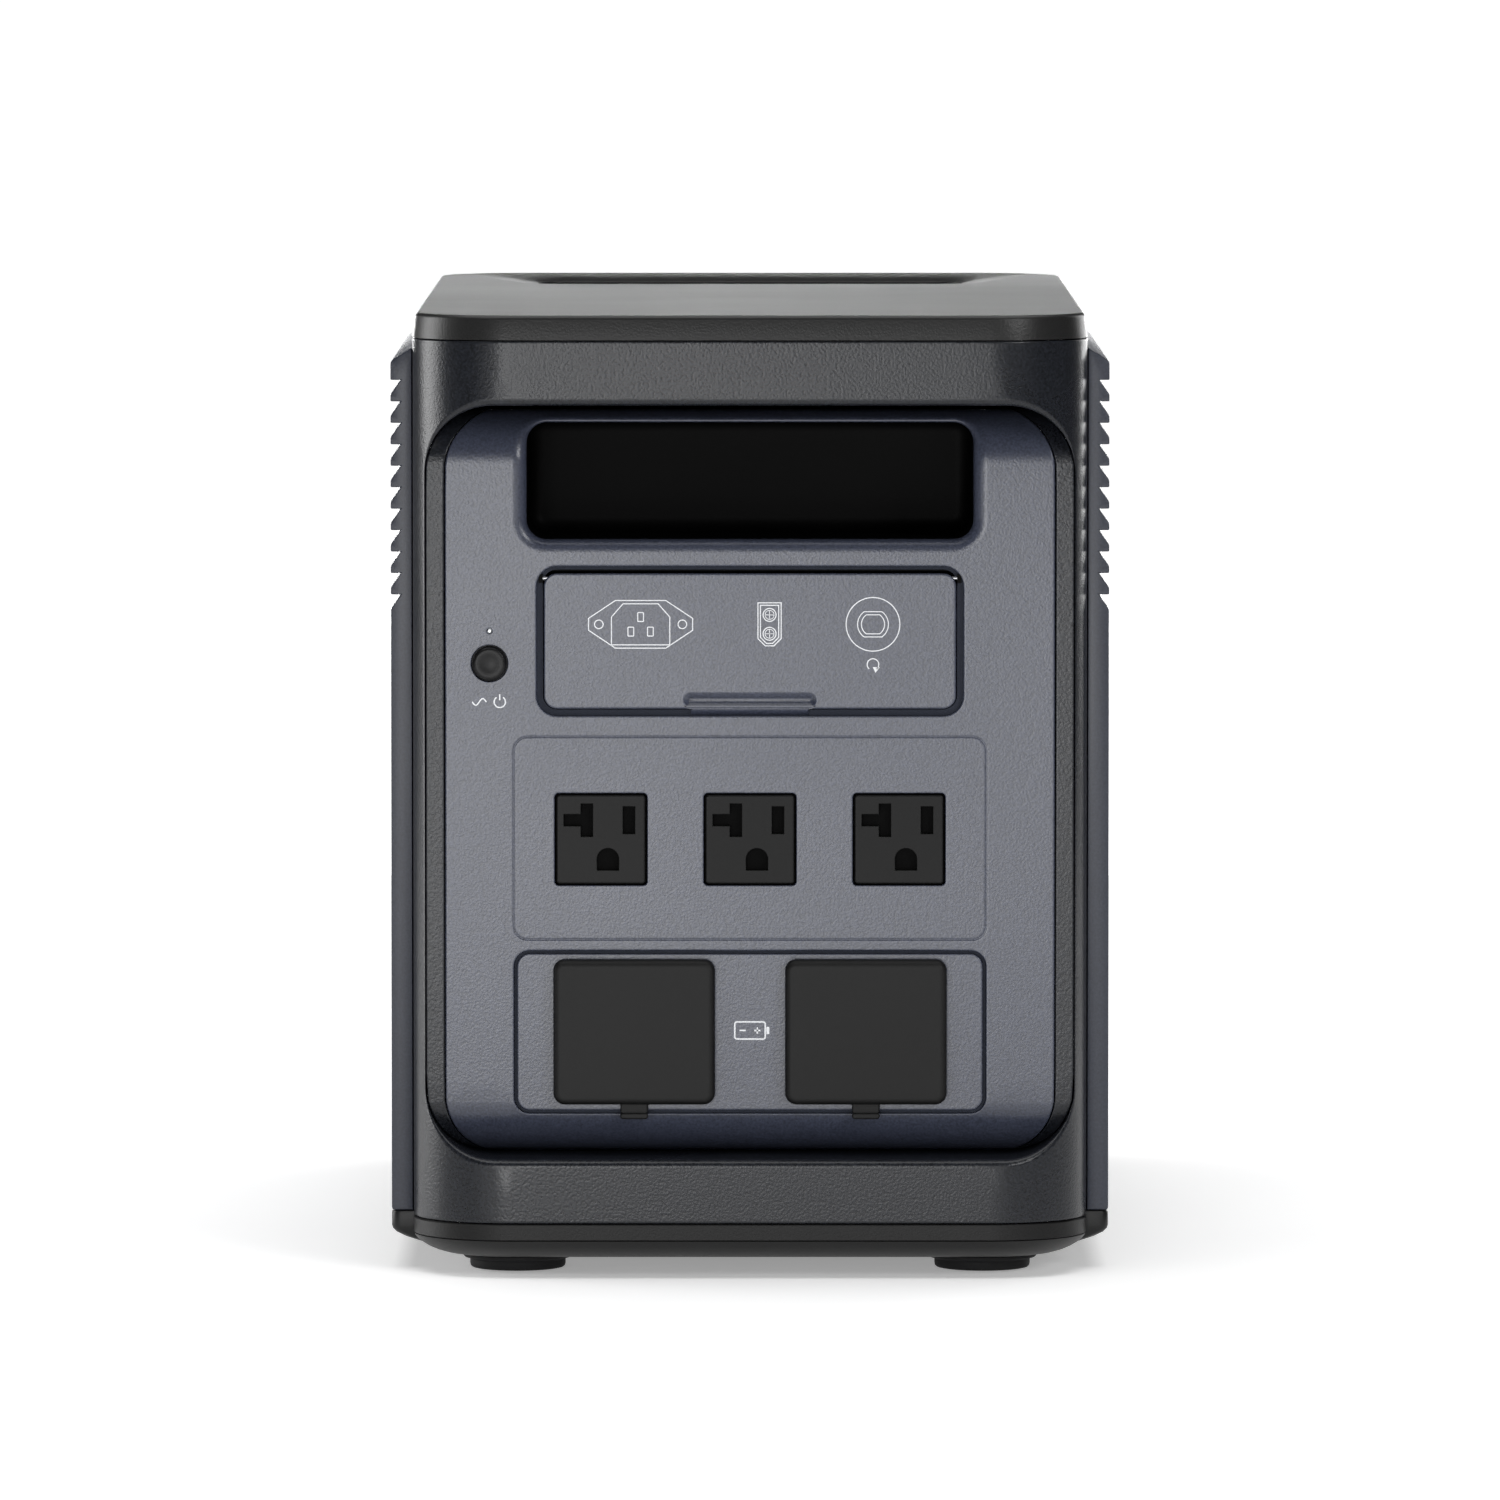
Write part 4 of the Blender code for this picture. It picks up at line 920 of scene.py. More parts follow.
@dataclass
class TopCover:
    """The grained lid, with the hand well's mouth and the dish that flares behind it."""

    near: float = 88 * MM  # the mouth along Y
    far: float = 160 * MM
    half_x: float = 69 * MM
    mouth_r: float = 10 * MM
    dish_near: float = 86.8 * MM
    dish_far: float = 194 * MM
    flare: float = 0.347
    edge: float = 1.3 * MM
    draft: float = 0.75 * MM  # how far the side leans in by the top
    collar: float = 287.8 * MM
    guard: float = 0.3 * MM  # the flat strip beside each rounded edge
    slope: float = 0.75 * MM  # how far the dish goes down evenly
    curl: float = 0.85 * MM  # how far it goes down more and more towards the mouth
    lip: tuple[float, float] = (1.62 * MM, 1.9 * MM)  # the rounding into the mouth, in depth
    throat: float = 2.3 * MM  # the thickness of the mouth's wall

    @staticmethod
    def top(p: np.ndarray, back: Amount = 0.0) -> np.ndarray:
        """Places (x, y) on the plane of the lid's top, or a distance below it."""
        return np.stack([p[:, 0], p[:, 1], np.broadcast_to(LID_HIGH - back, len(p))], 1)

    def mouth(self) -> Outline:
        """The hand well's mouth from above."""
        return Outline.rounded(self.half_x, (self.far - self.near) / 2, self.mouth_r,
                               (0, (self.near + self.far) / 2), 12, 16)

    def dish(self) -> Outline:
        """The dish's rim: a rounded rectangle that widens towards the rear."""
        half = (self.dish_far - self.dish_near) / 2
        base = Outline.rounded(self.half_x + 0.8 * MM, half, 12 * MM,
                               (0, self.dish_near + half), 12, 16).points
        part = (base[:, 1] - self.dish_near) / (2 * half)
        wide = 1 + self.flare * np.clip(part, 0, 1) ** 0.9
        return Outline(np.stack([base[:, 0] * wide, base[:, 1]], 1))

    def build(self) -> bpy.types.Object:
        """The lid: a patch on top, the dish lofted from its rim to the mouth, and a skirt."""
        top = self.top
        shell = Shell()
        low = LID_HIGH - LID_LOW
        lean = self.draft * (1 - self.edge / low)
        face = case_outline(self.draft + self.edge + self.guard)
        over = fillet(top(case_outline(self.draft + self.edge).points),
                      top(case_outline(self.draft).points),
                      top(case_outline(lean).points, self.edge), 6)
        foot = np.stack([top(case_outline(0.1 * MM).points, low - MM),
                         top(case_outline().points, low)])
        shell.rings(np.concatenate([top(face.points)[None], over, foot]))
        dish, mouth = self.dish(), self.mouth()
        part = np.linspace(0, 1, 9)
        loft = [top(dish.points + (mouth.points - dish.points) * t * 0.99,
                    self.slope * t + self.curl * t**3) for t in part]
        lip = fillet(loft[-1], *(top(mouth.points, back) for back in self.lip))
        deep = LID_HIGH - self.collar
        inner = mouth.grown(self.throat)
        shell.rings(np.stack([top(dish.grown(self.guard).points), *loft]))
        shell.rings(np.concatenate([lip, np.stack([
            top(mouth.points, deep), top(inner.points, deep), top(inner.points, WALL)])]))
        shell.patch(top, face, [dish.grown(self.guard)])
        skirt = case_outline(WALL)
        shell.rings(np.stack([top(case_outline().points, low), top(skirt.points, low),
                              top(skirt.points, WALL)]))
        shell.patch(lambda p: top(p, WALL), skirt, [inner])
        return dress(shell.build("top_cover_shell", sharp=50), LID_GRAIN,
                     replaces=("top_cover",))


@dataclass
class HandWell:
    """The duct from the lid's mouth down and out through the rear panel."""

    cover: TopCover
    mouth: Outline  # the rear panel's opening
    wall: float = 2 * MM
    steps: int = 14

    def curve(self, start: tuple[float, float], knee: tuple[float, float], bend: float,
              stop: tuple[float, float]) -> np.ndarray:
        """A line of (y, z) from start to stop that rounds the knee.

        Args:
            start: its first place.
            knee: the corner it rounds.
            bend: the radius of the rounding.
            stop: its last place.

        Returns:
            An array of (steps + 3, 2) places.
        """
        turn = np.linspace(0, math.pi / 2, self.steps + 1)
        y = knee[0] + math.copysign(bend, start[0] - knee[0]) * (1 - np.sin(turn))
        z = knee[1] + math.copysign(bend, stop[1] - knee[1]) * (1 - np.cos(turn))
        return np.concatenate([[start], np.stack([y, z], 1), [stop]])

    def tube(self, grow: float) -> np.ndarray:
        """Rings of rounded rectangles between an inner and an outer curve round the grip."""
        low, high = self.mouth.points[:, 1].min(), self.mouth.points[:, 1].max()
        near, far = self.cover.near, self.cover.far
        face = Rolled(End.REAR)
        top = self.cover.collar - 0.2 * MM
        start_y = BODY_Y - 40 * MM
        outer = self.curve((start_y, low - grow), (near - grow, low - grow), 14 * MM,
                           (near - grow, top))
        inner = self.curve((start_y, high + grow), (far + grow, high + grow), 4 * MM,
                           (far + grow, top))
        inner[0, 0] = outer[0, 0] = max(start_y, far + grow + 5 * MM)
        half = np.linspace(self.mouth.points[:, 0].max(), self.cover.half_x, len(inner)) + grow
        radius = np.linspace(6 * MM, self.cover.mouth_r, len(inner)) + grow
        rings = [face.at(face.unroll(self.mouth.grown(grow)).points, 3.2 * MM)]
        for i in range(len(inner)):
            middle, across = (inner[i] + outer[i]) / 2, (inner[i] - outer[i]) / 2
            size = float(np.linalg.norm(across))
            line = Outline.rounded(half[i], size, radius[i], corner=12, side=16).points
            along = line[:, 1:] / size * across + middle
            rings.append(np.concatenate([line[:, :1], along], 1))
        return np.stack(rings)

    def build(self) -> bpy.types.Object:
        """The duct with its wall."""
        rings = np.concatenate([self.tube(0.0), self.tube(self.wall)[::-1]])
        shell = Shell().rings(rings, around=True)
        # Black plastic, painted darker still for the shade deep in the well.
        return dress(shell.build("rear_well_duct"), POCKET_SHADE_BLACK,
                     replaces=("rear_handle_well",))


@dataclass
class BaseTray:
    """The tray: a grained rim over a smooth bottom, with a swelling under each side panel."""

    rim_low: float = 11 * MM
    rim_high: float = 16 * MM
    low: float = 4.8 * MM

    def ring(self, name: str, outside: Profile, inside: Profile,
             finish: Finish) -> bpy.types.Object:
        """A wall round the case between an outer and an inner run of (inset, z) pairs."""
        rings = bead(case_outline(), [*outside, *inside], z_axis)
        return dress(Shell().rings(rings, around=True).build(name), finish)

    def swelling(self, side: Side) -> bpy.types.Object:
        """The swelling on one side: rounded plans whose reach follows a curve in Z."""
        half_y = abs(low_high("left_side_panel")[0][1])
        curve = [(60, 4.9), (84, 4.9), (89, 5.3), (95, 6.2), (100, 7.3), (104.5, 8.9),
                 (107.4, 10.4), (108.5, 11.5), (108.8, 12.6), (108.8, 16.4), (108.5, 16.9),
                 (108.0, 17.0)]
        rings = []
        for x, z in curve:
            inset = (108.8 - x) * 0.35 * MM
            half_x = (x - 57) / 2 * MM
            line = Outline.rounded(half_x, half_y - inset, 2.8 * MM,
                                   (side.value * (57 * MM + half_x), 0), 6, 10)
            rings.append(z_axis(line.points, z * MM))
        shell = Shell().closed(rings)
        return dress(shell.build(f"tray_side_{side.name.lower()}"), TRAY_SMOOTH)

    def build(self) -> None:
        """Makes the rim, the bottom and the two swellings."""
        a, b = self.rim_low, self.rim_high
        rim_piece = self.ring(
            "tray_rim", [(0.3 * MM, a), (0, a + 0.3 * MM), (0, b - 0.4 * MM), (0.4 * MM, b)],
            [(WALL, b), (WALL, a)], TRAY_GRAIN)
        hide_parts("base_tray")
        curve = [(0.1, 10.85), (0.35, 10.3), (1.1, 9.3), (2.4, 8.3), (4.2, 7.2), (6.5, 6.2),
                 (9.2, 5.4), (12.0, 4.95), (14, 4.8)]
        rings = bead(case_outline(), [(i * MM, z * MM) for i, z in curve], z_axis)
        inner = bead(case_outline(), [(WALL, 10.85 * MM), (WALL + 2 * MM, 7.9 * MM)], z_axis)
        shell = Shell().rings(np.concatenate([inner[::-1], rings]))
        shell.cap(inner[-1]).cap(rings[-1])
        dress(shell.build("tray_bottom"), TRAY_SMOOTH)
        for side in Side:
            self.swelling(side)


@dataclass
class SidePanel:
    """A louvred side panel: one profile carried along Y, its slanted faces cut by slots."""

    side: Side
    louvres: int = 11
    top: float = 269.4 * MM
    pitch: float = 6.5 * MM
    deep: float = 3.1 * MM
    slant: float = 4.3 * MM
    shoulder: float = 275.3 * MM
    tip: float = 0.35 * MM
    slot_y: float = 65 * MM
    slot_half: tuple[float, float] = (62 * MM, 0.6 * MM)

    def __post_init__(self) -> None:
        """Reads the panel's limits from the frame."""
        self.node = f"{self.side.name.lower()}_side_panel"
        low, high = low_high("right_side_panel")
        self.out, self.half_y, self.low = high[0], high[1], low[2]
        self.inner, self.high = BODY_X + GAP, 279.2 * MM

    def tops(self) -> list[float]:
        """Each louvre's top, from the lowest up."""
        return [self.top - i * self.pitch for i in reversed(range(self.louvres))]

    def profile(self) -> tuple[np.ndarray, list[int]]:
        """The outline in (x, z) and the indexes at which the slanted faces start."""
        out, tip = self.out, self.tip
        line = [(self.inner, self.low), (out - 0.8 * MM, self.low),
                (out - 0.2 * MM, self.low + 0.2 * MM), (out, self.low + 0.8 * MM)]
        slants = []
        slope = self.deep / self.slant
        for z in self.tops():
            line += [(out, z - self.slant - tip), (out - 0.1 * MM, z - self.slant)]
            slants.append(len(line))
            line += [(out - slope * tip, z - self.slant + tip), (out - self.deep, z),
                     (out - tip, z), (out - 0.1 * MM, z + 0.1 * MM), (out, z + tip)]
        line += [(out, self.shoulder - MM), (out - 0.15 * MM, self.shoulder - 0.4 * MM),
                 (out - 0.9 * MM, self.shoulder + 0.3 * MM), (self.inner, self.high)]
        return np.array(line), slants

    def across(self, line: np.ndarray, y: float) -> np.ndarray:
        """Places (x, z) of the right side's profile, on this side and at one Y."""
        return np.stack([self.side.value * line[:, 0], np.full(len(line), y), line[:, 1]], 1)

    def ends(self, shell: Shell, outline: Outline, near: float) -> None:
        """Rounds the profile over at both ends of the panel, and closes it there."""
        end, last = self.half_y, 0.32 * MM
        over = [(near, 0), (end - 0.25 * MM, 0.06 * MM), (end - 0.07 * MM, 0.16 * MM),
                (end, last)]
        for way in (-1, 1):
            shell.rings(np.stack([self.across(outline.grown(-inset).points, way * y)
                                  for y, inset in over]))
            shell.patch(lambda p: self.across(p, way * end), outline.grown(-last))

    def slants_cut(self, shell: Shell, points: np.ndarray, slants: list[int],
                   near: float) -> list[Outline]:
        """Makes each louvre's slanted face with its two slots.

        Args:
            shell: the panel so far.
            points: the profile.
            slants: the indexes at which its slanted faces start.
            near: how far the faces reach along Y.

        Returns:
            The slots' edges in (y, z), which the panel's back leaves open too.
        """
        sign, slots = self.side.value, []
        for i, z in zip(slants, self.tops()):
            low, high = points[i], points[i + 1]
            lean = (high[0] - low[0]) / (high[1] - low[1])

            def place(p: np.ndarray) -> np.ndarray:
                """Places (y, z) on the slanted face."""
                return np.stack([sign * (low[0] + (p[:, 1] - low[1]) * lean), p[:, 0], p[:, 1]], 1)

            middle = z - self.slot_half[1] - 0.25 * MM
            holes = [Outline.rounded(*self.slot_half, 0.55 * MM, (y, middle), 3, 6)
                     for y in (-self.slot_y, self.slot_y)]
            shell.patch(place, rectangle(near, low[1], high[1]), holes)
            for hole in holes:
                shell.rings(np.stack([place(hole.points), x_axis(hole.points, sign * self.inner)]))
            slots += holes
        return slots

    def wall(self) -> bpy.types.Object:
        """The panel as a closed shell: its ends, its slants, the strips between, its back."""
        points, slants = self.profile()
        near = self.half_y - 0.6 * MM
        shell = Shell()
        self.ends(shell, Outline(points), near)
        slots = self.slants_cut(shell, points, slants, near)
        for i in range(len(points) - 1):
            if i not in slants:
                shell.sheet(np.stack([self.across(points[i:i + 2], y) for y in (-near, near)]))
        shell.patch(lambda p: x_axis(p, self.side.value * self.inner),
                    rectangle(near, self.low, self.high), slots)
        return dress(shell.build(f"{self.node}_wall", sharp=30), SIDE_GREY,
                     replaces=(self.node,))

    def rail(self) -> bpy.types.Object:
        """The tongue that closes the wall under the lid, between the two frames."""
        reach = BODY_Y - 50 * MM - GAP
        line = np.array([(99, 272.5), (102.1, 272.5), (102.1, 279), (102, 279.4), (102, 282.1),
                         (101.8, 282.3), (99, 282.3)]) * MM
        rings = [self.across(line, y) for y in np.linspace(-reach, reach, 9)]
        shell = Shell().closed(rings)
        return dress(shell.build(f"side_rail_{self.side.name.lower()}"), FRAME_GREY)

    def build(self) -> None:
        """Makes the panel and its rail."""
        self.wall()
        self.rail()


@dataclass
class DustFilter:
    """A thin foam sheet behind the louvres of one side, inboard of the fan."""

    side: Side
    near: float = 76.6 * MM
    thick: float = MM
    half_y: float = 138 * MM
    low: float = 197 * MM
    high: float = 276 * MM

    def build(self) -> bpy.types.Object:
        """A rounded rectangle of (y, z) places between two X planes."""
        line = Outline.rounded(self.half_y, (self.high - self.low) / 2, 6 * MM,
                               (0, (self.low + self.high) / 2))
        rings = bead(line, [(0, self.side.value * self.near),
                            (0, self.side.value * (self.near + self.thick))], x_axis)
        shell = Shell().closed(rings)
        return dress(shell.build(f"dust_filter_{self.side.name.lower()}"), FILTER_FOAM)


@dataclass
class Foot:
    """A round rubber foot with a collar and a well for its screw."""

    node: str

    def build(self) -> bpy.types.Object:
        """A profile of (radius, z) turned about the foot's axis."""
        low, high = low_high(self.node)
        middle = (low + high)[:2] / 2
        collar = (high - low)[0] / 2
        r, top = collar - 2 * MM, high[2]
        outside = [(r - 1.3 * MM, 0), (r - 0.6 * MM, 0.15 * MM), (r - 0.15 * MM, 0.6 * MM),
                   (r, 1.3 * MM), (r, 2.6 * MM), (r + 0.4 * MM, 3.0 * MM),
                   (collar - 0.4 * MM, 3.2 * MM), (collar, 3.6 * MM), (collar, top - 0.3 * MM),
                   (collar - 0.3 * MM, top)]
        well = [(2.3 * MM, top), (2.3 * MM, 2.2 * MM), (5.2 * MM, 2.2 * MM),
                (5.2 * MM, 0.3 * MM), (5.5 * MM, 0)]
        unit = Outline.circle(1.0, steps=72).points
        rings = np.stack([z_axis(unit * a + middle, z) for a, z in outside + well])
        shell = Shell().rings(rings, around=True)
        return dress(shell.build(f"{self.node}_rubber"), FOOT_RUBBER,
                     replaces=(self.node,))


# ---------------------------------------------------------------- marks


@dataclass
class Mark:
    """A printed pictogram: thin raised lines gathered into one mesh on a plane of an end."""

    name: str
    face: Flat
    width: float = 0.31 * MM
    height: float = 0.04 * MM
    sink: float = 0.05 * MM
    shell: Shell = field(default_factory=Shell)

    def loop(self, outline: Outline, width: float | None = None) -> "Mark":
        """A closed line."""
        half = (width or self.width) / 2
        out, into = outline.grown(half).points, outline.grown(-half).points
        at, up, down = self.face.at, -self.height, self.sink
        rings = [at(out, down), at(out, up), at(into, up), at(into, down)]
        self.shell.rings(np.stack(rings), around=True)
        return self

    def solid(self, outline: Outline) -> "Mark":
        """A filled shape."""
        rings = [self.face.at(outline.points, self.sink),
                 self.face.at(outline.points, -self.height)]
        self.shell.closed(rings)
        return self

    def line(self, points: Sequence[Place], width: float | None = None) -> "Mark":
        """An open line through points, with square ends."""
        half = (width or self.width) / 2
        path = np.array(points, float)
        step = np.gradient(path, axis=0)
        side = np.stack([-step[:, 1], step[:, 0]], 1)
        side *= half / np.linalg.norm(side, axis=1, keepdims=True)
        edge = np.concatenate([path - side, (path + side)[::-1]])
        rings = np.stack([self.face.at(edge, self.sink), self.face.at(edge, -self.height)])
        n = len(path)
        top = np.stack([rings[1][:n], rings[1][n:][::-1]])
        bottom = np.stack([rings[0][:n], rings[0][n:][::-1]])
        self.shell.rings(rings).sheet(top).sheet(bottom)
        return self

    def build(self, body: str = CASE, slot: str = "light",
              finish: Finish = PRINT) -> bpy.types.Object:
        """The mark as one piece that rides on a body."""
        return dress(self.shell.build(self.name, sharp=30), finish, body)


def polygon(*points: tuple[float, float], at: Place = (0.0, 0.0)) -> Outline:
    """An outline through corners, given in millimetres about a place."""
    return Outline(np.array(points) * MM + np.array(at))


# ---------------------------------------------------------------- moving covers


def pillow(at: Surface, outline: Outline, front: Amount, back: Amount, thick: float,
           guard: float = 0.4 * MM, steps: int = 6) -> tuple[Shell, Outline]:
    """A plate with rounded edges on both faces, open where its front patch goes.

    Args:
        at: the surface function of its front face.
        outline: its edge.
        front: the rounding of the front edge, for each point or for all.
        back: the rounding of the back edge.
        thick: its thickness.
        guard: the flat strip inside the rounding.
        steps: rings in each rounding.

    Returns:
        The shell so far, and the outline of the front patch.
    """
    rings, start = rim(at, outline, front, front, out=-1, steps=steps, guard=guard)
    rear = outline.grown(-back)
    over = fillet(at(outline.points, thick - back), at(outline.points, thick),
                  at(rear.points, thick), steps)
    shell = Shell().rings(np.concatenate([rings, over]))
    shell.patch(lambda p: at(p, thick), rear)
    return shell, start


def slab(at: Surface, outline: Outline, front: Amount, back: Amount, thick: float,
         **rounding: float) -> Shell:
    """A closed plate with rounded edges on both faces; rounding goes on to pillow."""
    shell, start = pillow(at, outline, front, back, thick, **rounding)
    return shell.patch(at, start)


@dataclass
class InputDoor:
    """The door over the inputs: its plate, thumb tab and pictograms, and its groove's floor."""

    outline_r: float = 4 * MM
    thick: float = 3 * MM
    edge: float = 0.55 * MM
    body: str = "input_door"
    low: float = DOOR_LOW
    scoop_half: tuple[float, float] = (20.1 * MM, 2.3 * MM)
    scoop_z: float = 173.35 * MM
    tab_x: float = 17.7 * MM
    marks_z: float = 196.35 * MM
    arrow_z: float = 184.2 * MM
    swing: float = 0.8 * MM  # extra room at the top, where the opening door turns inwards

    def outline(self) -> Outline:
        """The plate's edge."""
        high = low_high(self.body)[1]
        return upright_rect(high[0], self.low, high[2], self.outline_r, corner=10, side=30)

    def plate(self) -> bpy.types.Object:
        """The door's plate with the scoop in it."""
        face, outline = FRONT_FACE, self.outline()
        up = np.clip(outline.normals()[:, 1], 0, 1) ** 4
        back = self.edge + (self.thick / 2 - self.edge) * up
        shell, start = pillow(face.at, outline, self.edge, back, self.thick)
        scoop = Outline.rounded(*self.scoop_half, 2.25 * MM, (0, self.scoop_z), 8, 30)
        dish = [(0.3, 0.0), (0.05, 0.0), (-0.15, 0.08), (-0.4, 0.28), (-1.5, 1.16),
                (-1.75, 1.3), (-2.0, 1.34)]
        rings = np.stack([face.at(scoop.grown(w * MM).points, d * MM) for w, d in dish])
        shell.rings(rings).cap(rings[-1])
        shell.patch(face.at, start, [scoop.grown(dish[0][0] * MM)])
        return dress(shell.build("input_door_plate", sharp=50), PANEL_GREY, self.body,
                     (self.body,))

    def tab(self) -> bpy.types.Object:
        """The thumb lip below the door: a wedge that leans back, carried along X."""
        face = -BODY_Y + FACE_DEPTH
        wedge = [(0.35, 171.3), (0.35, 170.7), (0.6, 170.3), (1.9, 168.95), (2.9, 168.95),
                 (2.9, 171.3)]
        line = np.array([(face + d * MM, z * MM) for d, z in wedge])
        rings = bead(Outline(line[::-1]), [(0.2 * MM, -self.tab_x), (0, -self.tab_x + 0.3 * MM),
                                           (0, self.tab_x - 0.3 * MM), (0.2 * MM, self.tab_x)],
                     x_axis)
        shell = Shell().closed(rings)
        return dress(shell.build("input_door_tab", sharp=25), PANEL_GREY, self.body)

    def seat(self) -> bpy.types.Object:
        """The floor of the groove round the door, which stays on the case."""
        outline = self.outline()
        up = np.clip(outline.normals()[:, 1], 0, 1)
        outer, inner = outline.grown(GROOVE), outline.grown(GAP + self.swing * up)
        at = FRONT_FACE.at
        rings = [at(line.points, deep) for line, deep in
                 ((outer, 2.0 * MM), (inner, 2.0 * MM), (inner, 2.9 * MM), (outer, 2.9 * MM))]
        shell = Shell().rings(np.stack(rings), around=True)
        # Painted shade: the groove's floor is darker than the panel, for the shade down in the
        # groove.
        return dress(shell.build("input_door_seat"), GROOVE_SHADE_GREY)

    def inlet_mark(self, mark: Mark, at: Place) -> None:
        """A mains inlet from the front: its flange, its body, three pins and two screws."""
        flange = [(-15.7, 1.8), (-15.7, -1.8), (-7.6, -7.2), (7.6, -7.2),
                  (15.7, -1.8), (15.7, 1.8), (7.6, 7.2), (-7.6, 7.2)]
        body = [(8.8, -6.2), (8.8, 2.2), (5.3, 6.2), (-5.3, 6.2), (-8.8, 2.2), (-8.8, -6.2)]
        mark.loop(polygon(*flange, at=at))
        mark.loop(polygon(*body, at=at))
        for dx, dz in ((0, 2.2), (-2.95, -2.2), (2.95, -2.2)):
            mark.loop(Outline.rounded(0.87 * MM, 1.35 * MM, 0.2 * MM,
                                      (at[0] + dx * MM, at[1] + dz * MM), 2, 2))
        for dx in (-12.6, 12.6):
            mark.loop(Outline.circle(1.3 * MM, (at[0] + dx * MM, at[1]), 24))

    def plug_mark(self, mark: Mark, at: Place) -> None:
        """A two-pole plug from the front: its body and, in each pole, a ring and a cross."""
        for w, h, cut_off in ((3.5, 6.5, 2.2), (2.75, 5.75, 1.8)):
            mark.loop(polygon((w, h), (-w, h), (-w, cut_off - h), (cut_off - w, -h),
                              (w - cut_off, -h), (w, cut_off - h), at=at))
        thin, arm = 0.2 * MM, 1.2 * MM
        for dz in (2.85, -2.85):
            x, z = at[0], at[1] + dz * MM
            mark.loop(Outline.circle(1.95 * MM, (x, z), 32))
            mark.loop(Outline.circle(1.35 * MM, (x, z), 32), thin)
            mark.line([(x - arm, z), (x + arm, z)], thin)
            mark.line([(x, z - arm), (x, z + arm)], thin)

    def breaker_mark(self, mark: Mark, at: Place, arrow: Place) -> None:
        """A breaker's button, as a circle round two flattened ones, and a reset arrow."""
        mark.loop(Outline.circle(8.1 * MM, at, 72))
        for r in (4.65, 3.5):
            ring = Outline.circle(r * MM, (0, 0), 72).points
            ring[:, 1] = np.clip(ring[:, 1], -0.82 * r * MM, 0.82 * r * MM)
            mark.loop(Outline(ring + np.array(at)), 0.27 * MM)
        turn = np.radians(np.linspace(-50, 230, 29))
        arc = np.stack([np.cos(turn), np.sin(turn)], 1) * 1.75 * MM + np.array(arrow)
        mark.line(arc, 0.32 * MM)
        mark.solid(polygon((0.75, -2.5), (2.05, -0.85), (-0.05, -0.75), at=arrow))

    def marks(self) -> bpy.types.Object:
        """Pictograms over the three inputs: a mains inlet, a two-pole plug and a breaker."""
        mark = Mark("input_door_marks", FRONT_FACE)
        self.inlet_mark(mark, (-33.0 * MM, self.marks_z))
        self.plug_mark(mark, (5.9 * MM, self.marks_z))
        self.breaker_mark(mark, (37.1 * MM, self.marks_z), (37.1 * MM, self.arrow_z))
        return mark.build(self.body)

    def build(self) -> None:
        """Makes the plate, the tab, the groove's floor and the pictograms."""
        self.plate()
        self.tab()
        self.seat()
        self.marks()


@dataclass
class BatteryCover:
    """A soft rubber cover over a battery port, hinged along its half-round top."""

    node: str
    low: float = 51.2 * MM
    radius: float = 3.5 * MM
    edge: float = 2.0 * MM
    back_edge: float = 0.4 * MM
    thick: float = 4.7 * MM
    tab_half: float = 4.2 * MM

    def build(self) -> None:
        """Makes the pad, its pull tab and the lip under the tab."""
        box_low, box_high = low_high(self.node)
        front_depth = box_low[1] + BODY_Y
        back_depth = front_depth + self.thick
        middle = (box_low[0] + box_high[0]) / 2
        half_x = (box_high[0] - box_low[0]) / 2
        outline = upright_rect(half_x, self.low, box_high[2], self.radius, middle, 10, 16)
        up = np.clip(outline.normals()[:, 1], 0, 1) ** 4
        front = self.edge + (self.thick / 2 - self.edge) * up
        back = self.back_edge + (self.thick / 2 - self.back_edge) * up
        pad = slab(Flat(End.FRONT, front_depth).at, outline, front, back, self.thick, steps=8)
        dress(pad.build(f"{self.node}_pad", sharp=50), RUBBER, self.node,
              (self.node,))
        # name, distance ahead of the pad's back, low, high, corner radius, its steps, edge, thick
        parts = (("tab", 2.0, 1e3 * box_low[2] + 0.4, 53.4, 2.2, 8, 0.6, 1.8),
                 ("lip", 3.4, 46.8, 48.6, 0.8, 6, 0.5, 2.9))
        for name, ahead, low, high, radius, corner, edge, thick in parts:
            outline = upright_rect(self.tab_half, low * MM, high * MM, radius * MM, middle,
                                   corner, 8)
            part = slab(Flat(End.FRONT, back_depth - ahead * MM).at, outline, edge * MM,
                        0.3 * MM, thick * MM, guard=0.1 * MM)
            dress(part.build(f"{self.node}_{name}"), RUBBER, self.node)


# ---------------------------------------------------------------- controls and ports


@dataclass
class PushButton:
    """A round button: a dished cap with a rounded edge, on a stem that ends behind the panel."""

    node: str
    end: End
    cap_high: float = 1.9 * MM
    dish: float = 0.35 * MM

    def build(self) -> bpy.types.Object:
        """A profile of (radius, height) turned about the button's axis."""
        low, high = low_high(self.node)
        middle = middle_of(self.node)
        radius = (high[0] - low[0]) / 2 - FLANGE
        face = Flat(self.end, FACE_DEPTH)
        top = -self.cap_high
        turn = np.linspace(0, math.pi / 2, 6)
        bowl = [(radius * 0.62 * k, top + self.dish * (1 - k * k)) for k in (0.02, 0.35, 0.7, 0.9)]
        over = [(radius * 0.8 + radius * 0.2 * math.sin(a), top + MM * (1 - math.cos(a)))
                for a in turn]
        stem = [(radius, 3.3 * MM), (radius + 1.2 * MM, 3.35 * MM), (radius + 1.2 * MM, 4.2 * MM)]
        profile = [*bowl, (radius * 0.7, top), *over, *stem]
        shell = lathe(middle, profile, face.at)
        return dress(shell.build(f"{self.node}_cap"), BUTTON_BLACK, self.node,
                     (self.node,))


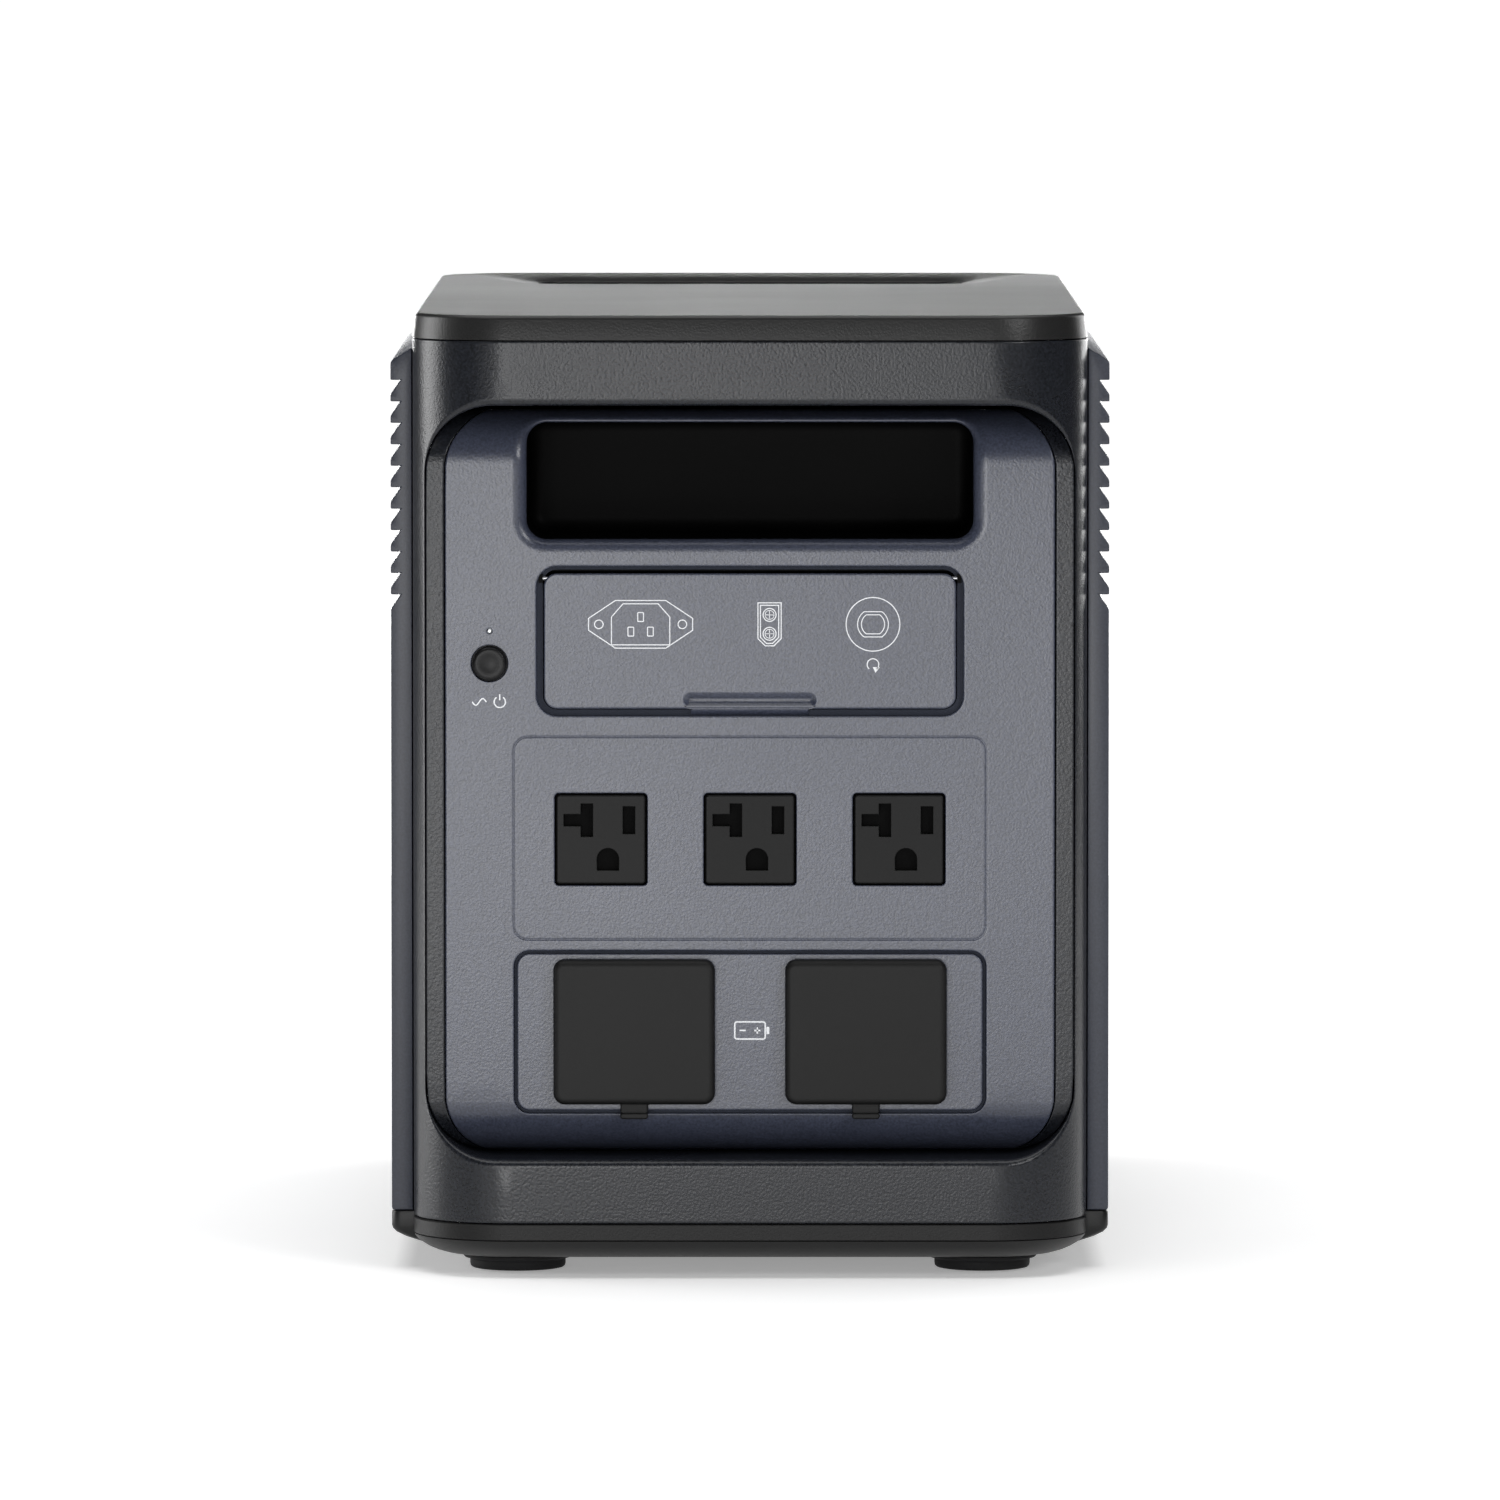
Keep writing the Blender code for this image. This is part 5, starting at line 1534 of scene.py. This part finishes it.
@dataclass
class StatusLight:
    """The pinhole light over the AC button."""

    node: str = "status_led"

    def build(self) -> bpy.types.Object:
        """A domed light pipe."""
        middle = middle_of(self.node)
        face = FRONT_FACE
        r = 0.5 * MM
        turn = np.linspace(0.1, math.pi / 2, 5)
        profile = [(r * math.sin(a), -0.15 * MM * math.cos(a)) for a in turn] + [(r, 7 * MM)]
        shell = lathe(middle, profile, face.at, 24)
        return dress(shell.build("status_light_pipe"), LIGHT_DOT,
                     replaces=(self.node,))


@dataclass
class Outlet:
    """A mains outlet: a plate with a T slot, a straight slot and a round ground opening."""

    label: str
    half: float = 13.4 * MM
    slots_dx: float = 2.1 * MM
    blade_dx: float = 6.35 * MM
    blade_dz: float = 5.8 * MM
    ground_dz: float = -6.0 * MM
    ground_r: float = 3.28 * MM
    thick: float = 2.6 * MM
    depth: float = 5 * MM  # the shutters fill the plate's room down to this

    def slots(self, x: float, z: float) -> list[Outline]:
        """The three openings' edges."""
        left, right = x + self.slots_dx - self.blade_dx, x + self.slots_dx + self.blade_dx
        top = z + self.blade_dz
        tee = polygon((1.8, 5.0), (-1.8, 5.0), (-1.8, 1.78), (-7.0, 1.78), (-7.0, -1.78),
                      (-1.8, -1.78), (-1.8, -5.0), (1.8, -5.0), at=(left, top))
        straight = polygon((1.83, 4.15), (-1.83, 4.15), (-1.83, -4.15), (1.83, -4.15),
                           at=(right, top))
        turn = np.linspace(0, math.pi, 25)
        r = self.ground_r
        arch = np.stack([r * np.cos(turn), r * np.sin(turn)], 1)
        foot = np.array([(-r, -r - 0.12 * MM), (r, -r - 0.12 * MM)])
        middle = np.array((x + self.slots_dx, z + self.ground_dz))
        return [tee, straight, Outline(np.concatenate([arch, foot]) + middle)]

    def build(self) -> None:
        """The plate, joined through each opening and round its edge, and the shutters behind."""
        node = f"outlet_{self.label}"
        x, z = middle_of(node)
        face = FRONT_FACE
        outline = Outline.rounded(self.half, self.half, MM, (x, z), 5, 6)
        shell = Shell()
        rings, start = rim(face.at, outline, 0.45 * MM, self.thick, out=-1)
        shell.rings(rings)
        holes = []
        for slot in self.slots(x, z):
            rings, hole = rim(face.at, slot, 0.2 * MM, self.thick, steps=3, guard=0.12 * MM)
            shell.rings(rings)
            holes.append(hole)
        shell.patch(face.at, start, holes)
        shell.patch(lambda p: face.at(p, self.thick), outline, self.slots(x, z))
        dress(shell.build(f"{node}_plate"), SATIN_BLACK, replaces=(node,))
        wide = 13.8 * MM - self.half
        rings = bead(outline, [(-wide, self.thick + 0.05 * MM), (-wide, self.depth)], face.at)
        shell = Shell().closed(rings)
        # Painted shade: the shutters are near black, for the shade inside the slots.
        dress(shell.build(f"{node}_shutters"), SLOT_SHADE_BLACK)


@dataclass
class BatteryPlate:
    """The plate round the battery ports, flush in its groove."""

    node: str = "battery_port_plate"
    thick: float = 5 * MM
    floor: float = 1.7 * MM  # the groove's floor behind the face
    flange: float = 0.9 * MM

    def build(self) -> bpy.types.Object:
        """A plate with two rounded openings, and the floor of the groove round it."""
        low, high = low_high(self.node)
        inset = 2.7 * MM + MM
        outline = upright_rect(high[0] - inset, low[2] + inset - 0.8 * MM,
                               high[2] - inset + 0.8 * MM, 3.8 * MM, corner=10, side=12)
        face = FRONT_FACE
        shell = Shell()
        rings, start = rim(face.at, outline, 0.4 * MM, self.thick, out=-1)
        shell.rings(rings)
        floor = [(-self.flange, self.floor), (-0.05 * MM, self.floor),
                 (-0.05 * MM, self.floor + MM), (-self.flange, self.floor + MM)]
        seat = Shell().rings(bead(outline, floor, face.at), around=True)
        # Painted shade: the groove's floor is darker than the panel, for the shade down in the
        # groove.
        dress(seat.build("battery_plate_seat"), GROOVE_SHADE_GREY)
        holes, backs = [], []
        for side in SIDES:
            a, b = low_high(f"battery_socket_{side}")
            hole = Outline.rounded((b[0] - a[0]) / 2 + GAP, (b[2] - a[2]) / 2 + GAP, 3.3 * MM,
                                   ((a[0] + b[0]) / 2, (a[2] + b[2]) / 2))
            rings, guard = rim(face.at, hole, 0.35 * MM, self.thick)
            shell.rings(rings)
            holes.append(guard)
            backs.append(hole)
        shell.patch(face.at, start, holes)
        shell.patch(lambda p: face.at(p, self.thick), outline, backs)
        return dress(shell.build("battery_plate_face"), PANEL_GREY,
                     replaces=(self.node,))


def control_marks() -> None:
    """A wave and a power sign under the AC button, and a battery sign between the covers."""
    face = FRONT_FACE
    x, z = middle_of("ac_button")
    mark = Mark("ac_button_marks", face, width=0.4 * MM)
    wave = np.linspace(-1, 1, 33)
    at = (x - 3.1 * MM, z - 11.6 * MM)
    mark.line(np.stack([at[0] + wave * 2.1 * MM, at[1] + np.sin(wave * math.pi) * 1.0 * MM], 1))
    at = (x + 3.1 * MM, z - 11.6 * MM)
    turn = np.radians(np.linspace(125, 415, 29))
    mark.line(np.stack([np.cos(turn), np.sin(turn)], 1) * 1.7 * MM + np.array(at))
    mark.line([(at[0], at[1] + 0.5 * MM), (at[0], at[1] + 2.3 * MM)])
    mark.build()
    mark = Mark("battery_port_marks", face, width=0.45 * MM)
    at = (0.0, 73.4 * MM)
    mark.loop(Outline.rounded(4.6 * MM, 2.6 * MM, 0.7 * MM, at, 4, 2))
    mark.solid(Outline.rounded(0.45 * MM, 1.1 * MM, 0.2 * MM, (5.4 * MM, at[1]), 2, 2))
    for dx in (-2.2, 2.2):
        mark.line([(dx * MM - 0.95 * MM, at[1]), (dx * MM + 0.95 * MM, at[1])])
    mark.line([(2.2 * MM, at[1] - 0.95 * MM), (2.2 * MM, at[1] + 0.95 * MM)])
    mark.build()


@dataclass
class RearPorts:
    """The display, the USB ports and the car socket with its cap."""

    lens_r: float = 5 * MM
    socket_r: float = 10.5 * MM
    cap_r: float = 15 * MM

    def display(self) -> None:
        """The smoked window and the segments that show through it."""
        low, high = low_high("display_lens")
        face = Flat(End.REAR, BODY_Y - high[1])
        middle = middle_of("display_lens")[1]
        outline = upright_rect(high[0], low[2], high[2], self.lens_r, corner=12)
        shell = slab(face.at, outline, 0.5 * MM, 0.3 * MM, 2.5 * MM)
        dress(shell.build("display_window"), LENS_BLACK, replaces=("display_lens",))
        mark = Mark("display_segments", face, width=0.7 * MM, height=0.03 * MM)
        at = (0.0, middle)
        mark.loop(Outline.rounded(13 * MM, 7 * MM, 1.6 * MM, at, 6, 2))
        mark.solid(Outline.rounded(0.8 * MM, 2.6 * MM, 0.4 * MM, (-14.6 * MM, middle), 3, 2))
        for i in range(5):
            x = (-9.6 + i * 4.8) * MM
            mark.solid(Outline.rounded(1.7 * MM, 5 * MM, 0.5 * MM, (x, middle), 3, 2))
        for sign in (-1, 1):
            x = sign * 30 * MM
            mark.line([(x - 6 * MM, middle), (x + 4 * MM, middle)])
            mark.line([(x + 1.5 * MM, middle + 2.8 * MM), (x + 4.4 * MM, middle),
                       (x + 1.5 * MM, middle - 2.8 * MM)])
        mark.build(finish=SEGMENTS)

    def usb(self) -> None:
        """The block with two wide and two slim ports."""
        x, z = middle_of("usb_module")
        face = Flat(End.REAR, BODY_Y - low_high("usb_module")[1][1])
        outline = Outline.rounded(31 * MM, 14 * MM, 3 * MM, (x, z), 8, 8)
        shell = Shell()
        rings, start = rim(face.at, outline, 0.4 * MM, 12 * MM, out=-1)
        shell.rings(rings)
        wide = [(x + dx * MM, z + 5.5 * MM) for dx in (-13, 13)]
        slim = [(x + dx * MM, z - 5.5 * MM) for dx in (-13, 13)]
        ports = [Outline.rounded(6.6 * MM, 2.9 * MM, 0.5 * MM, at, 3, 4) for at in wide]
        ports += [Outline.rounded(4.6 * MM, 1.7 * MM, 1.6 * MM, at, 8, 4) for at in slim]
        holes = []
        for port in ports:
            rings, hole = rim(face.at, port, 0.3 * MM, 9.5 * MM, guard=0.2 * MM)
            shell.rings(rings).cap(rings[-1])
            holes.append(hole)
        shell.patch(face.at, start, holes).cap(face.at(outline.points, 12 * MM))
        dress(shell.build("usb_block"), SATIN_BLACK, replaces=("usb_module",))
        for i, at in enumerate(wide):
            liner = Outline.rounded(6.45 * MM, 2.75 * MM, 0.45 * MM, at, 3, 4)
            profile = [(0, 0.3 * MM), (0, 9 * MM), (0.35 * MM, 9 * MM), (0.35 * MM, 0.3 * MM)]
            shell = Shell().rings(bead(liner, profile, face.at), around=True)
            dress(shell.build(f"usb_liner_{i + 1}"), STEEL)
            tongue = Outline.rounded(5.6 * MM, 0.9 * MM, 0.2 * MM, (at[0], at[1] + 1.0 * MM))
            rings = bead(tongue, [(0.15 * MM, 1.2 * MM), (0, 1.4 * MM), (0, 9 * MM)], face.at)
            dress(Shell().closed(rings).build(f"usb_tongue_{i + 1}"), SATIN_BLACK)
        for i, at in enumerate(slim):
            tongue = Outline.rounded(3.4 * MM, 0.35 * MM, 0.2 * MM, at)
            rings = bead(tongue, [(0.1 * MM, 1.2 * MM), (0, 1.3 * MM), (0, 9 * MM)], face.at)
            dress(Shell().closed(rings).build(f"usb_slim_tongue_{i + 1}"), STEEL)

    def car_socket(self) -> None:
        """The round socket and the rubber cap that hinges over it."""
        at = middle_of("car_socket")
        face = REAR_FACE
        bore = self.socket_r
        profile = [(bore + 0.6 * MM, 0.0), (bore + 2.2 * MM, 0.0), (13 * MM, 0.3 * MM),
                   (13 * MM, 42 * MM), (bore, 42 * MM), (bore, 0.6 * MM),
                   (bore + 0.15 * MM, 0.2 * MM)]
        unit = Outline.circle(1.0, steps=72).points
        rings = np.stack([face.at(unit * r + np.array(at), back) for r, back in profile])
        shell = Shell().rings(rings, around=True)
        dress(shell.build("car_socket_barrel"), SATIN_BLACK, replaces=("car_socket",))
        seat = lathe(at, [(2.6 * MM, 30 * MM), (3.4 * MM, 31 * MM), (3.4 * MM, 41 * MM)],
                     face.at, 32)
        dress(seat.build("car_socket_centre"), BRASS)

        high = low_high("car_socket_cap")[1]
        r, thick = self.cap_r, high[1] - (BODY_Y - FACE_DEPTH) - GAP
        base = -GAP
        cap = [(0.4 * r, base - thick), (r - 2.6 * MM, base - thick),
               (r - 1.6 * MM, base - thick + 0.15 * MM), (r - 0.5 * MM, base - thick + 0.9 * MM),
               (r, base - thick + 1.9 * MM), (r, base - 0.3 * MM), (r - 0.3 * MM, base),
               (9.2 * MM, base), (9.2 * MM, 1.7 * MM), (8.6 * MM, 2.2 * MM)]
        shell = lathe(at, cap, face.at, 72)
        dress(shell.build("car_cap_disc"), RUBBER, "car_socket_cap",
              ("car_socket_cap",))
        hinge = joint_place("car_socket_cap_hinge")
        half = (high[1] - (BODY_Y - FACE_DEPTH + GAP)) / 2
        turn = np.linspace(0, math.pi, 13)
        line = [(hinge[1] + half * math.cos(a), hinge[2] + half * math.sin(a)) for a in turn]
        line += [(hinge[1] - half, hinge[2] - 5 * MM), (hinge[1] + half, hinge[2] - 5 * MM)]
        strap = Outline(np.array(line))
        rings = bead(strap, [(0.35 * MM, at[0] - 5 * MM), (0, at[0] - 4.6 * MM),
                             (0, at[0] + 4.6 * MM), (0.35 * MM, at[0] + 5 * MM)], x_axis)
        shell = Shell().closed(rings)
        dress(shell.build("car_cap_strap"), RUBBER, "car_socket_cap")

    def build(self) -> None:
        """Makes every rear port."""
        self.display()
        self.usb()
        self.car_socket()


def joint_place(name: str) -> Point:
    """A joint's place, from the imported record."""
    for joint in frame["record"]["behaviour"]["joints"]:
        if joint["name"] == name:
            return tuple(joint["pos_m"])
    raise KeyError(name)


# ---------------------------------------------------------------- carried-over nodes


def refine(node: str, finish: Finish, body: str = CASE, bevel: float = 0.25 * MM,
           segments: int = 2) -> bpy.types.Object:
    """A merged copy of a CAD node with rounded edges.

    Args:
        node: the CAD node that the copy replaces.
        finish: the copy's finish.
        body: the body it rides on.
        bevel: the edges' rounding.
        segments: steps in the rounding.

    Returns:
        The copy.
    """
    source = bpy.data.objects[node] if node in bpy.data.objects else frame["nodes"][node]
    mesh = source.data.copy()
    mesh.materials.clear()
    bm = bmesh.new()
    bm.from_mesh(mesh)
    bmesh.ops.remove_doubles(bm, verts=bm.verts[:], dist=5e-6)
    bmesh.ops.dissolve_limit(bm, angle_limit=math.radians(2), verts=bm.verts[:],
                             edges=bm.edges[:])
    bm.to_mesh(mesh)
    bm.free()
    mesh.name = f"{node}_refined"
    made = bpy.data.objects.new(f"{node}_refined", mesh)
    bpy.context.scene.collection.objects.link(made)
    mesh.shade_smooth()
    mesh.set_sharp_from_angle(angle=math.radians(35))
    round_off = made.modifiers.new("rounded_edges", "BEVEL")
    round_off.width = bevel
    round_off.segments = segments
    round_off.limit_method = "ANGLE"
    round_off.angle_limit = math.radians(40)
    round_off.use_clamp_overlap = True
    return dress(made, finish, body, (node,))


def build_insides() -> None:
    """Rounds and dresses the inlets, sockets, contacts, boards and fans."""
    for node in ("ac_inlet", "dc_inlet", "breaker_body"):
        refine(node, SATIN_BLACK)
    # Black plastic, painted darker still for the shade deep in the bay behind the door.
    refine("input_bay", POCKET_SHADE_BLACK, bevel=0.4 * MM)
    refine("breaker_button", RED_BUTTON, "breaker_button", 0.4 * MM, 3)
    for node in ("ac_inlet_pins", "dc_inlet_pins"):
        refine(node, BRASS)
    for side in SIDES:
        refine(f"battery_socket_{side}", SATIN_BLACK, bevel=0.4 * MM)
        refine(f"battery_contacts_{side}", BRASS)
        refine(f"fan_frame_{side}", SATIN_BLACK, bevel=0.5 * MM)
        refine(f"fan_rotor_{side}", BUTTON_BLACK, f"fan_rotor_{side}")
    for label in OUTLETS:
        refine(f"outlet_contacts_{label}", BRASS)
    refine("battery_pack", CELL_BLUE, bevel=2 * MM, segments=3)
    refine("pack_bracket", STEEL, bevel=0.4 * MM)
    refine("inverter_heatsink", ALUMINIUM, bevel=0.2 * MM)
    for node in ("bms_board", "inverter_board", "button_board", "rear_control_board"):
        refine(node, BOARD_GREEN)
    refine("input_door_pin", STEEL, bevel=0.1 * MM)
    for end in ("front", "rear"):
        for side in SIDES:
            refine(f"foot_screw_{end}_{side}", STEEL, bevel=0.2 * MM)


# ---------------------------------------------------------------- studio


MIDDLE = (0.0, 0.0, 0.15)
LIGHTS = (  # name, place, target, size, watts
    ("front", (-0.55, -4.7, 0.30), MIDDLE, (1.1, 1.2), 41),
    ("key", (1.75, -2.5, 1.35), MIDDLE, (0.9, 0.9), 26),
    ("low", (-0.1, -0.95, 0.02), (0.0, -0.1, 0.12), (1.0, 0.4), 2.5),
    ("left_edge", (-2.5, 0.7, 0.6), MIDDLE, (1.4, 1.4), 42),
    ("right_edge", (1.7, 2.4, 0.6), MIDDLE, (0.7, 1.2), 14),
    ("back", (0.0, 3.4, 0.33), MIDDLE, (2.6, 0.34), 37),
    ("top", (0.0, 0.0, 2.8), MIDDLE, (3.2, 3.2), 80),
)


@dataclass
class Studio:
    """A pale floor, soft lights and the camera."""

    camera_from: Point = (0.0, -4.3, 0.436)
    camera_to: Point = (0.0, -0.2, 0.1594)
    lens: float = 328.0
    sky: float = 0.04
    floor_r: float = 1.4
    sweep_r: float = 30.0

    def aim(self, thing: bpy.types.Object, place: Point, target: Point) -> None:
        """Puts a light or the camera at a place, turned to a target."""
        thing.location = place
        way = Vector(target) - Vector(place)
        thing.rotation_euler = way.to_track_quat("-Z", "Y").to_euler()

    def light(self, name: str, place: Point, target: Point, size: Place, watts: float) -> None:
        """One soft rectangular light.

        Args:
            name: its name.
            place: where it is.
            target: where it points.
            size: its two sides.
            watts: its power.
        """
        data = bpy.data.lights.new(name, "AREA")
        data.shape = "RECTANGLE"
        data.size, data.size_y = size
        data.energy = watts
        lamp = bpy.data.objects.new(name, data)
        lamp.visible_camera = False
        bpy.context.scene.collection.objects.link(lamp)
        self.aim(lamp, place, target)

    def floor(self) -> None:
        """A pale disc under the object, and a white sweep beyond it that only shows."""
        line = Outline.circle(self.floor_r, steps=96)
        disc = Shell().cap(z_axis(line.points, -0.5 * MM)).build("studio_floor")
        disc.data.materials.append(FLOOR.make())
        far = Outline.circle(self.sweep_r, steps=96)
        sweep = Shell().rings(np.stack([z_axis(line.points, -0.5 * MM),
                                        z_axis(far.points, -0.5 * MM)])).build("studio_sweep")
        self.show_only(sweep)

    def show_only(self, backdrop: bpy.types.Object) -> None:
        """Makes a backdrop white to the camera and nothing to the light."""
        backdrop.data.materials.append(DOME.make())
        backdrop.visible_diffuse = backdrop.visible_glossy = backdrop.visible_shadow = False
        backdrop.visible_transmission = backdrop.visible_volume_scatter = False

    def world(self) -> None:
        """A faint even sky for the lighting, and a white dome that only the camera sees."""
        world = bpy.data.worlds.new("studio_world")
        world.use_nodes = True
        sky = world.node_tree.nodes["Background"]
        sky.inputs["Color"].default_value = (1.0, 1.0, 1.0, 1.0)
        sky.inputs["Strength"].default_value = self.sky
        bpy.context.scene.world = world
        turn = np.linspace(0, math.pi / 2, 13)
        unit = Outline.circle(self.sweep_r - 1.0, steps=96).points
        rings = np.stack([z_axis(unit * math.cos(a), self.sweep_r * math.sin(a) - 0.05)
                          for a in turn[:-1]])
        self.show_only(Shell().rings(rings).cap(rings[-1]).build("studio_dome"))

    def build(self) -> None:
        """Makes the stage, the lights and the camera."""
        self.floor()
        self.world()
        for lamp in LIGHTS:
            self.light(*lamp)
        data = bpy.data.cameras.new("camera")
        data.lens = self.lens
        data.sensor_width = 36.0
        data.clip_end = 100.0
        camera = bpy.data.objects.new("camera", data)
        bpy.context.scene.collection.objects.link(camera)
        self.aim(camera, self.camera_from, self.camera_to)
        bpy.context.scene.camera = camera
        bpy.context.scene.view_settings.view_transform = "Standard"


def round_opening(node: str, grow: float, radius: float = 0.25 * MM) -> Opening:
    """The opening round a button or a light: its node's width, plus or minus some."""
    low, high = low_high(node)
    return Opening(Outline.circle((high[0] - low[0]) / 2 + grow, middle_of(node), 48), radius)


def hand_opening() -> Opening:
    """The hand opening of both ends; its edge is rounded least along its top."""
    mouth = upright_rect(67.4 * MM, 222 * MM, 257 * MM, 6 * MM, corner=12, side=16)
    up = np.clip(mouth.normals()[:, 1], 0, 1)
    return Opening(mouth, (4.0 - 1.5 * up) * MM, 3 * MM)


def front_panel(flare: Opening) -> EndPanel:
    """The front panel, with the openings for the hand pocket, the controls and the ports."""
    high = low_high("input_door")[1]
    door = upright_rect(high[0] + GROOVE, DOOR_LOW - GROOVE, high[2] + GROOVE, 6.2 * MM,
                        corner=10, side=12)
    plate = upright_rect(PORTS_X, 48.2 * MM, 97.6 * MM, 4.8 * MM, corner=10, side=12)
    outlets = [Opening(Outline.rounded(14 * MM, 14 * MM, 1.3 * MM, middle_of(f"outlet_{label}"),
                                       5, 6), 0.3 * MM) for label in OUTLETS]
    emboss = upright_rect(PORTS_X, 100.9 * MM, 162.3 * MM, 4.2 * MM, corner=10, side=12)
    openings = [flare, Opening(door, 0.45 * MM),
                round_opening("ac_button", 0.45 * MM - FLANGE),
                round_opening("status_led", GAP), Opening(plate, 0.4 * MM)]
    return EndPanel(End.FRONT, openings, emboss, outlets)


def rear_panel(flare: Opening) -> EndPanel:
    """The rear panel, with the openings for the hand well, the display and the ports."""
    low, high = low_high("display_lens")
    window = upright_rect(high[0] + GAP, low[2] - GAP, high[2] + GAP, 5.3 * MM)
    usb = Outline.rounded(31.3 * MM, 14.3 * MM, 3.3 * MM, middle_of("usb_module"))
    socket = Outline.circle(13.3 * MM, middle_of("car_socket"), 64)
    return EndPanel(End.REAR, [
        flare, Opening(window, 0.4 * MM), round_opening("power_button", -0.85 * MM),
        round_opening("dc_button", -0.85 * MM), Opening(usb, 0.35 * MM),
        Opening(socket, 0.35 * MM)])


def main() -> None:
    """Builds every sub-assembly in order."""
    logging.basicConfig(level=logging.INFO, format="%(message)s")
    Studio().build()
    for end in End:
        EndFrame(end).build()
        log.info("%s frame built", end.name.lower())

    flare = hand_opening()
    front_panel(flare).build()
    log.info("front panel built")
    rear_panel(flare).build()
    log.info("rear panel built")

    cover = TopCover()
    cover.build()
    HandPocket(flare.outline).build()
    HandWell(cover, flare.outline).build()
    BaseTray().build()
    for side in Side:
        SidePanel(side).build()
        DustFilter(side).build()
    for end in ("front", "rear"):
        for side in SIDES:
            Foot(f"foot_{end}_{side}").build()
    log.info("case built")

    InputDoor().build()
    for side in SIDES:
        BatteryCover(f"battery_cover_{side}").build()
    BatteryPlate().build()
    for label in OUTLETS:
        Outlet(label).build()
    for node, end in (("ac_button", End.FRONT), ("power_button", End.REAR),
                      ("dc_button", End.REAR)):
        PushButton(node, end).build()
    StatusLight().build()
    control_marks()
    RearPorts().build()
    build_insides()
    log.info("controls and ports built")


if __name__ == "__main__":
    main()
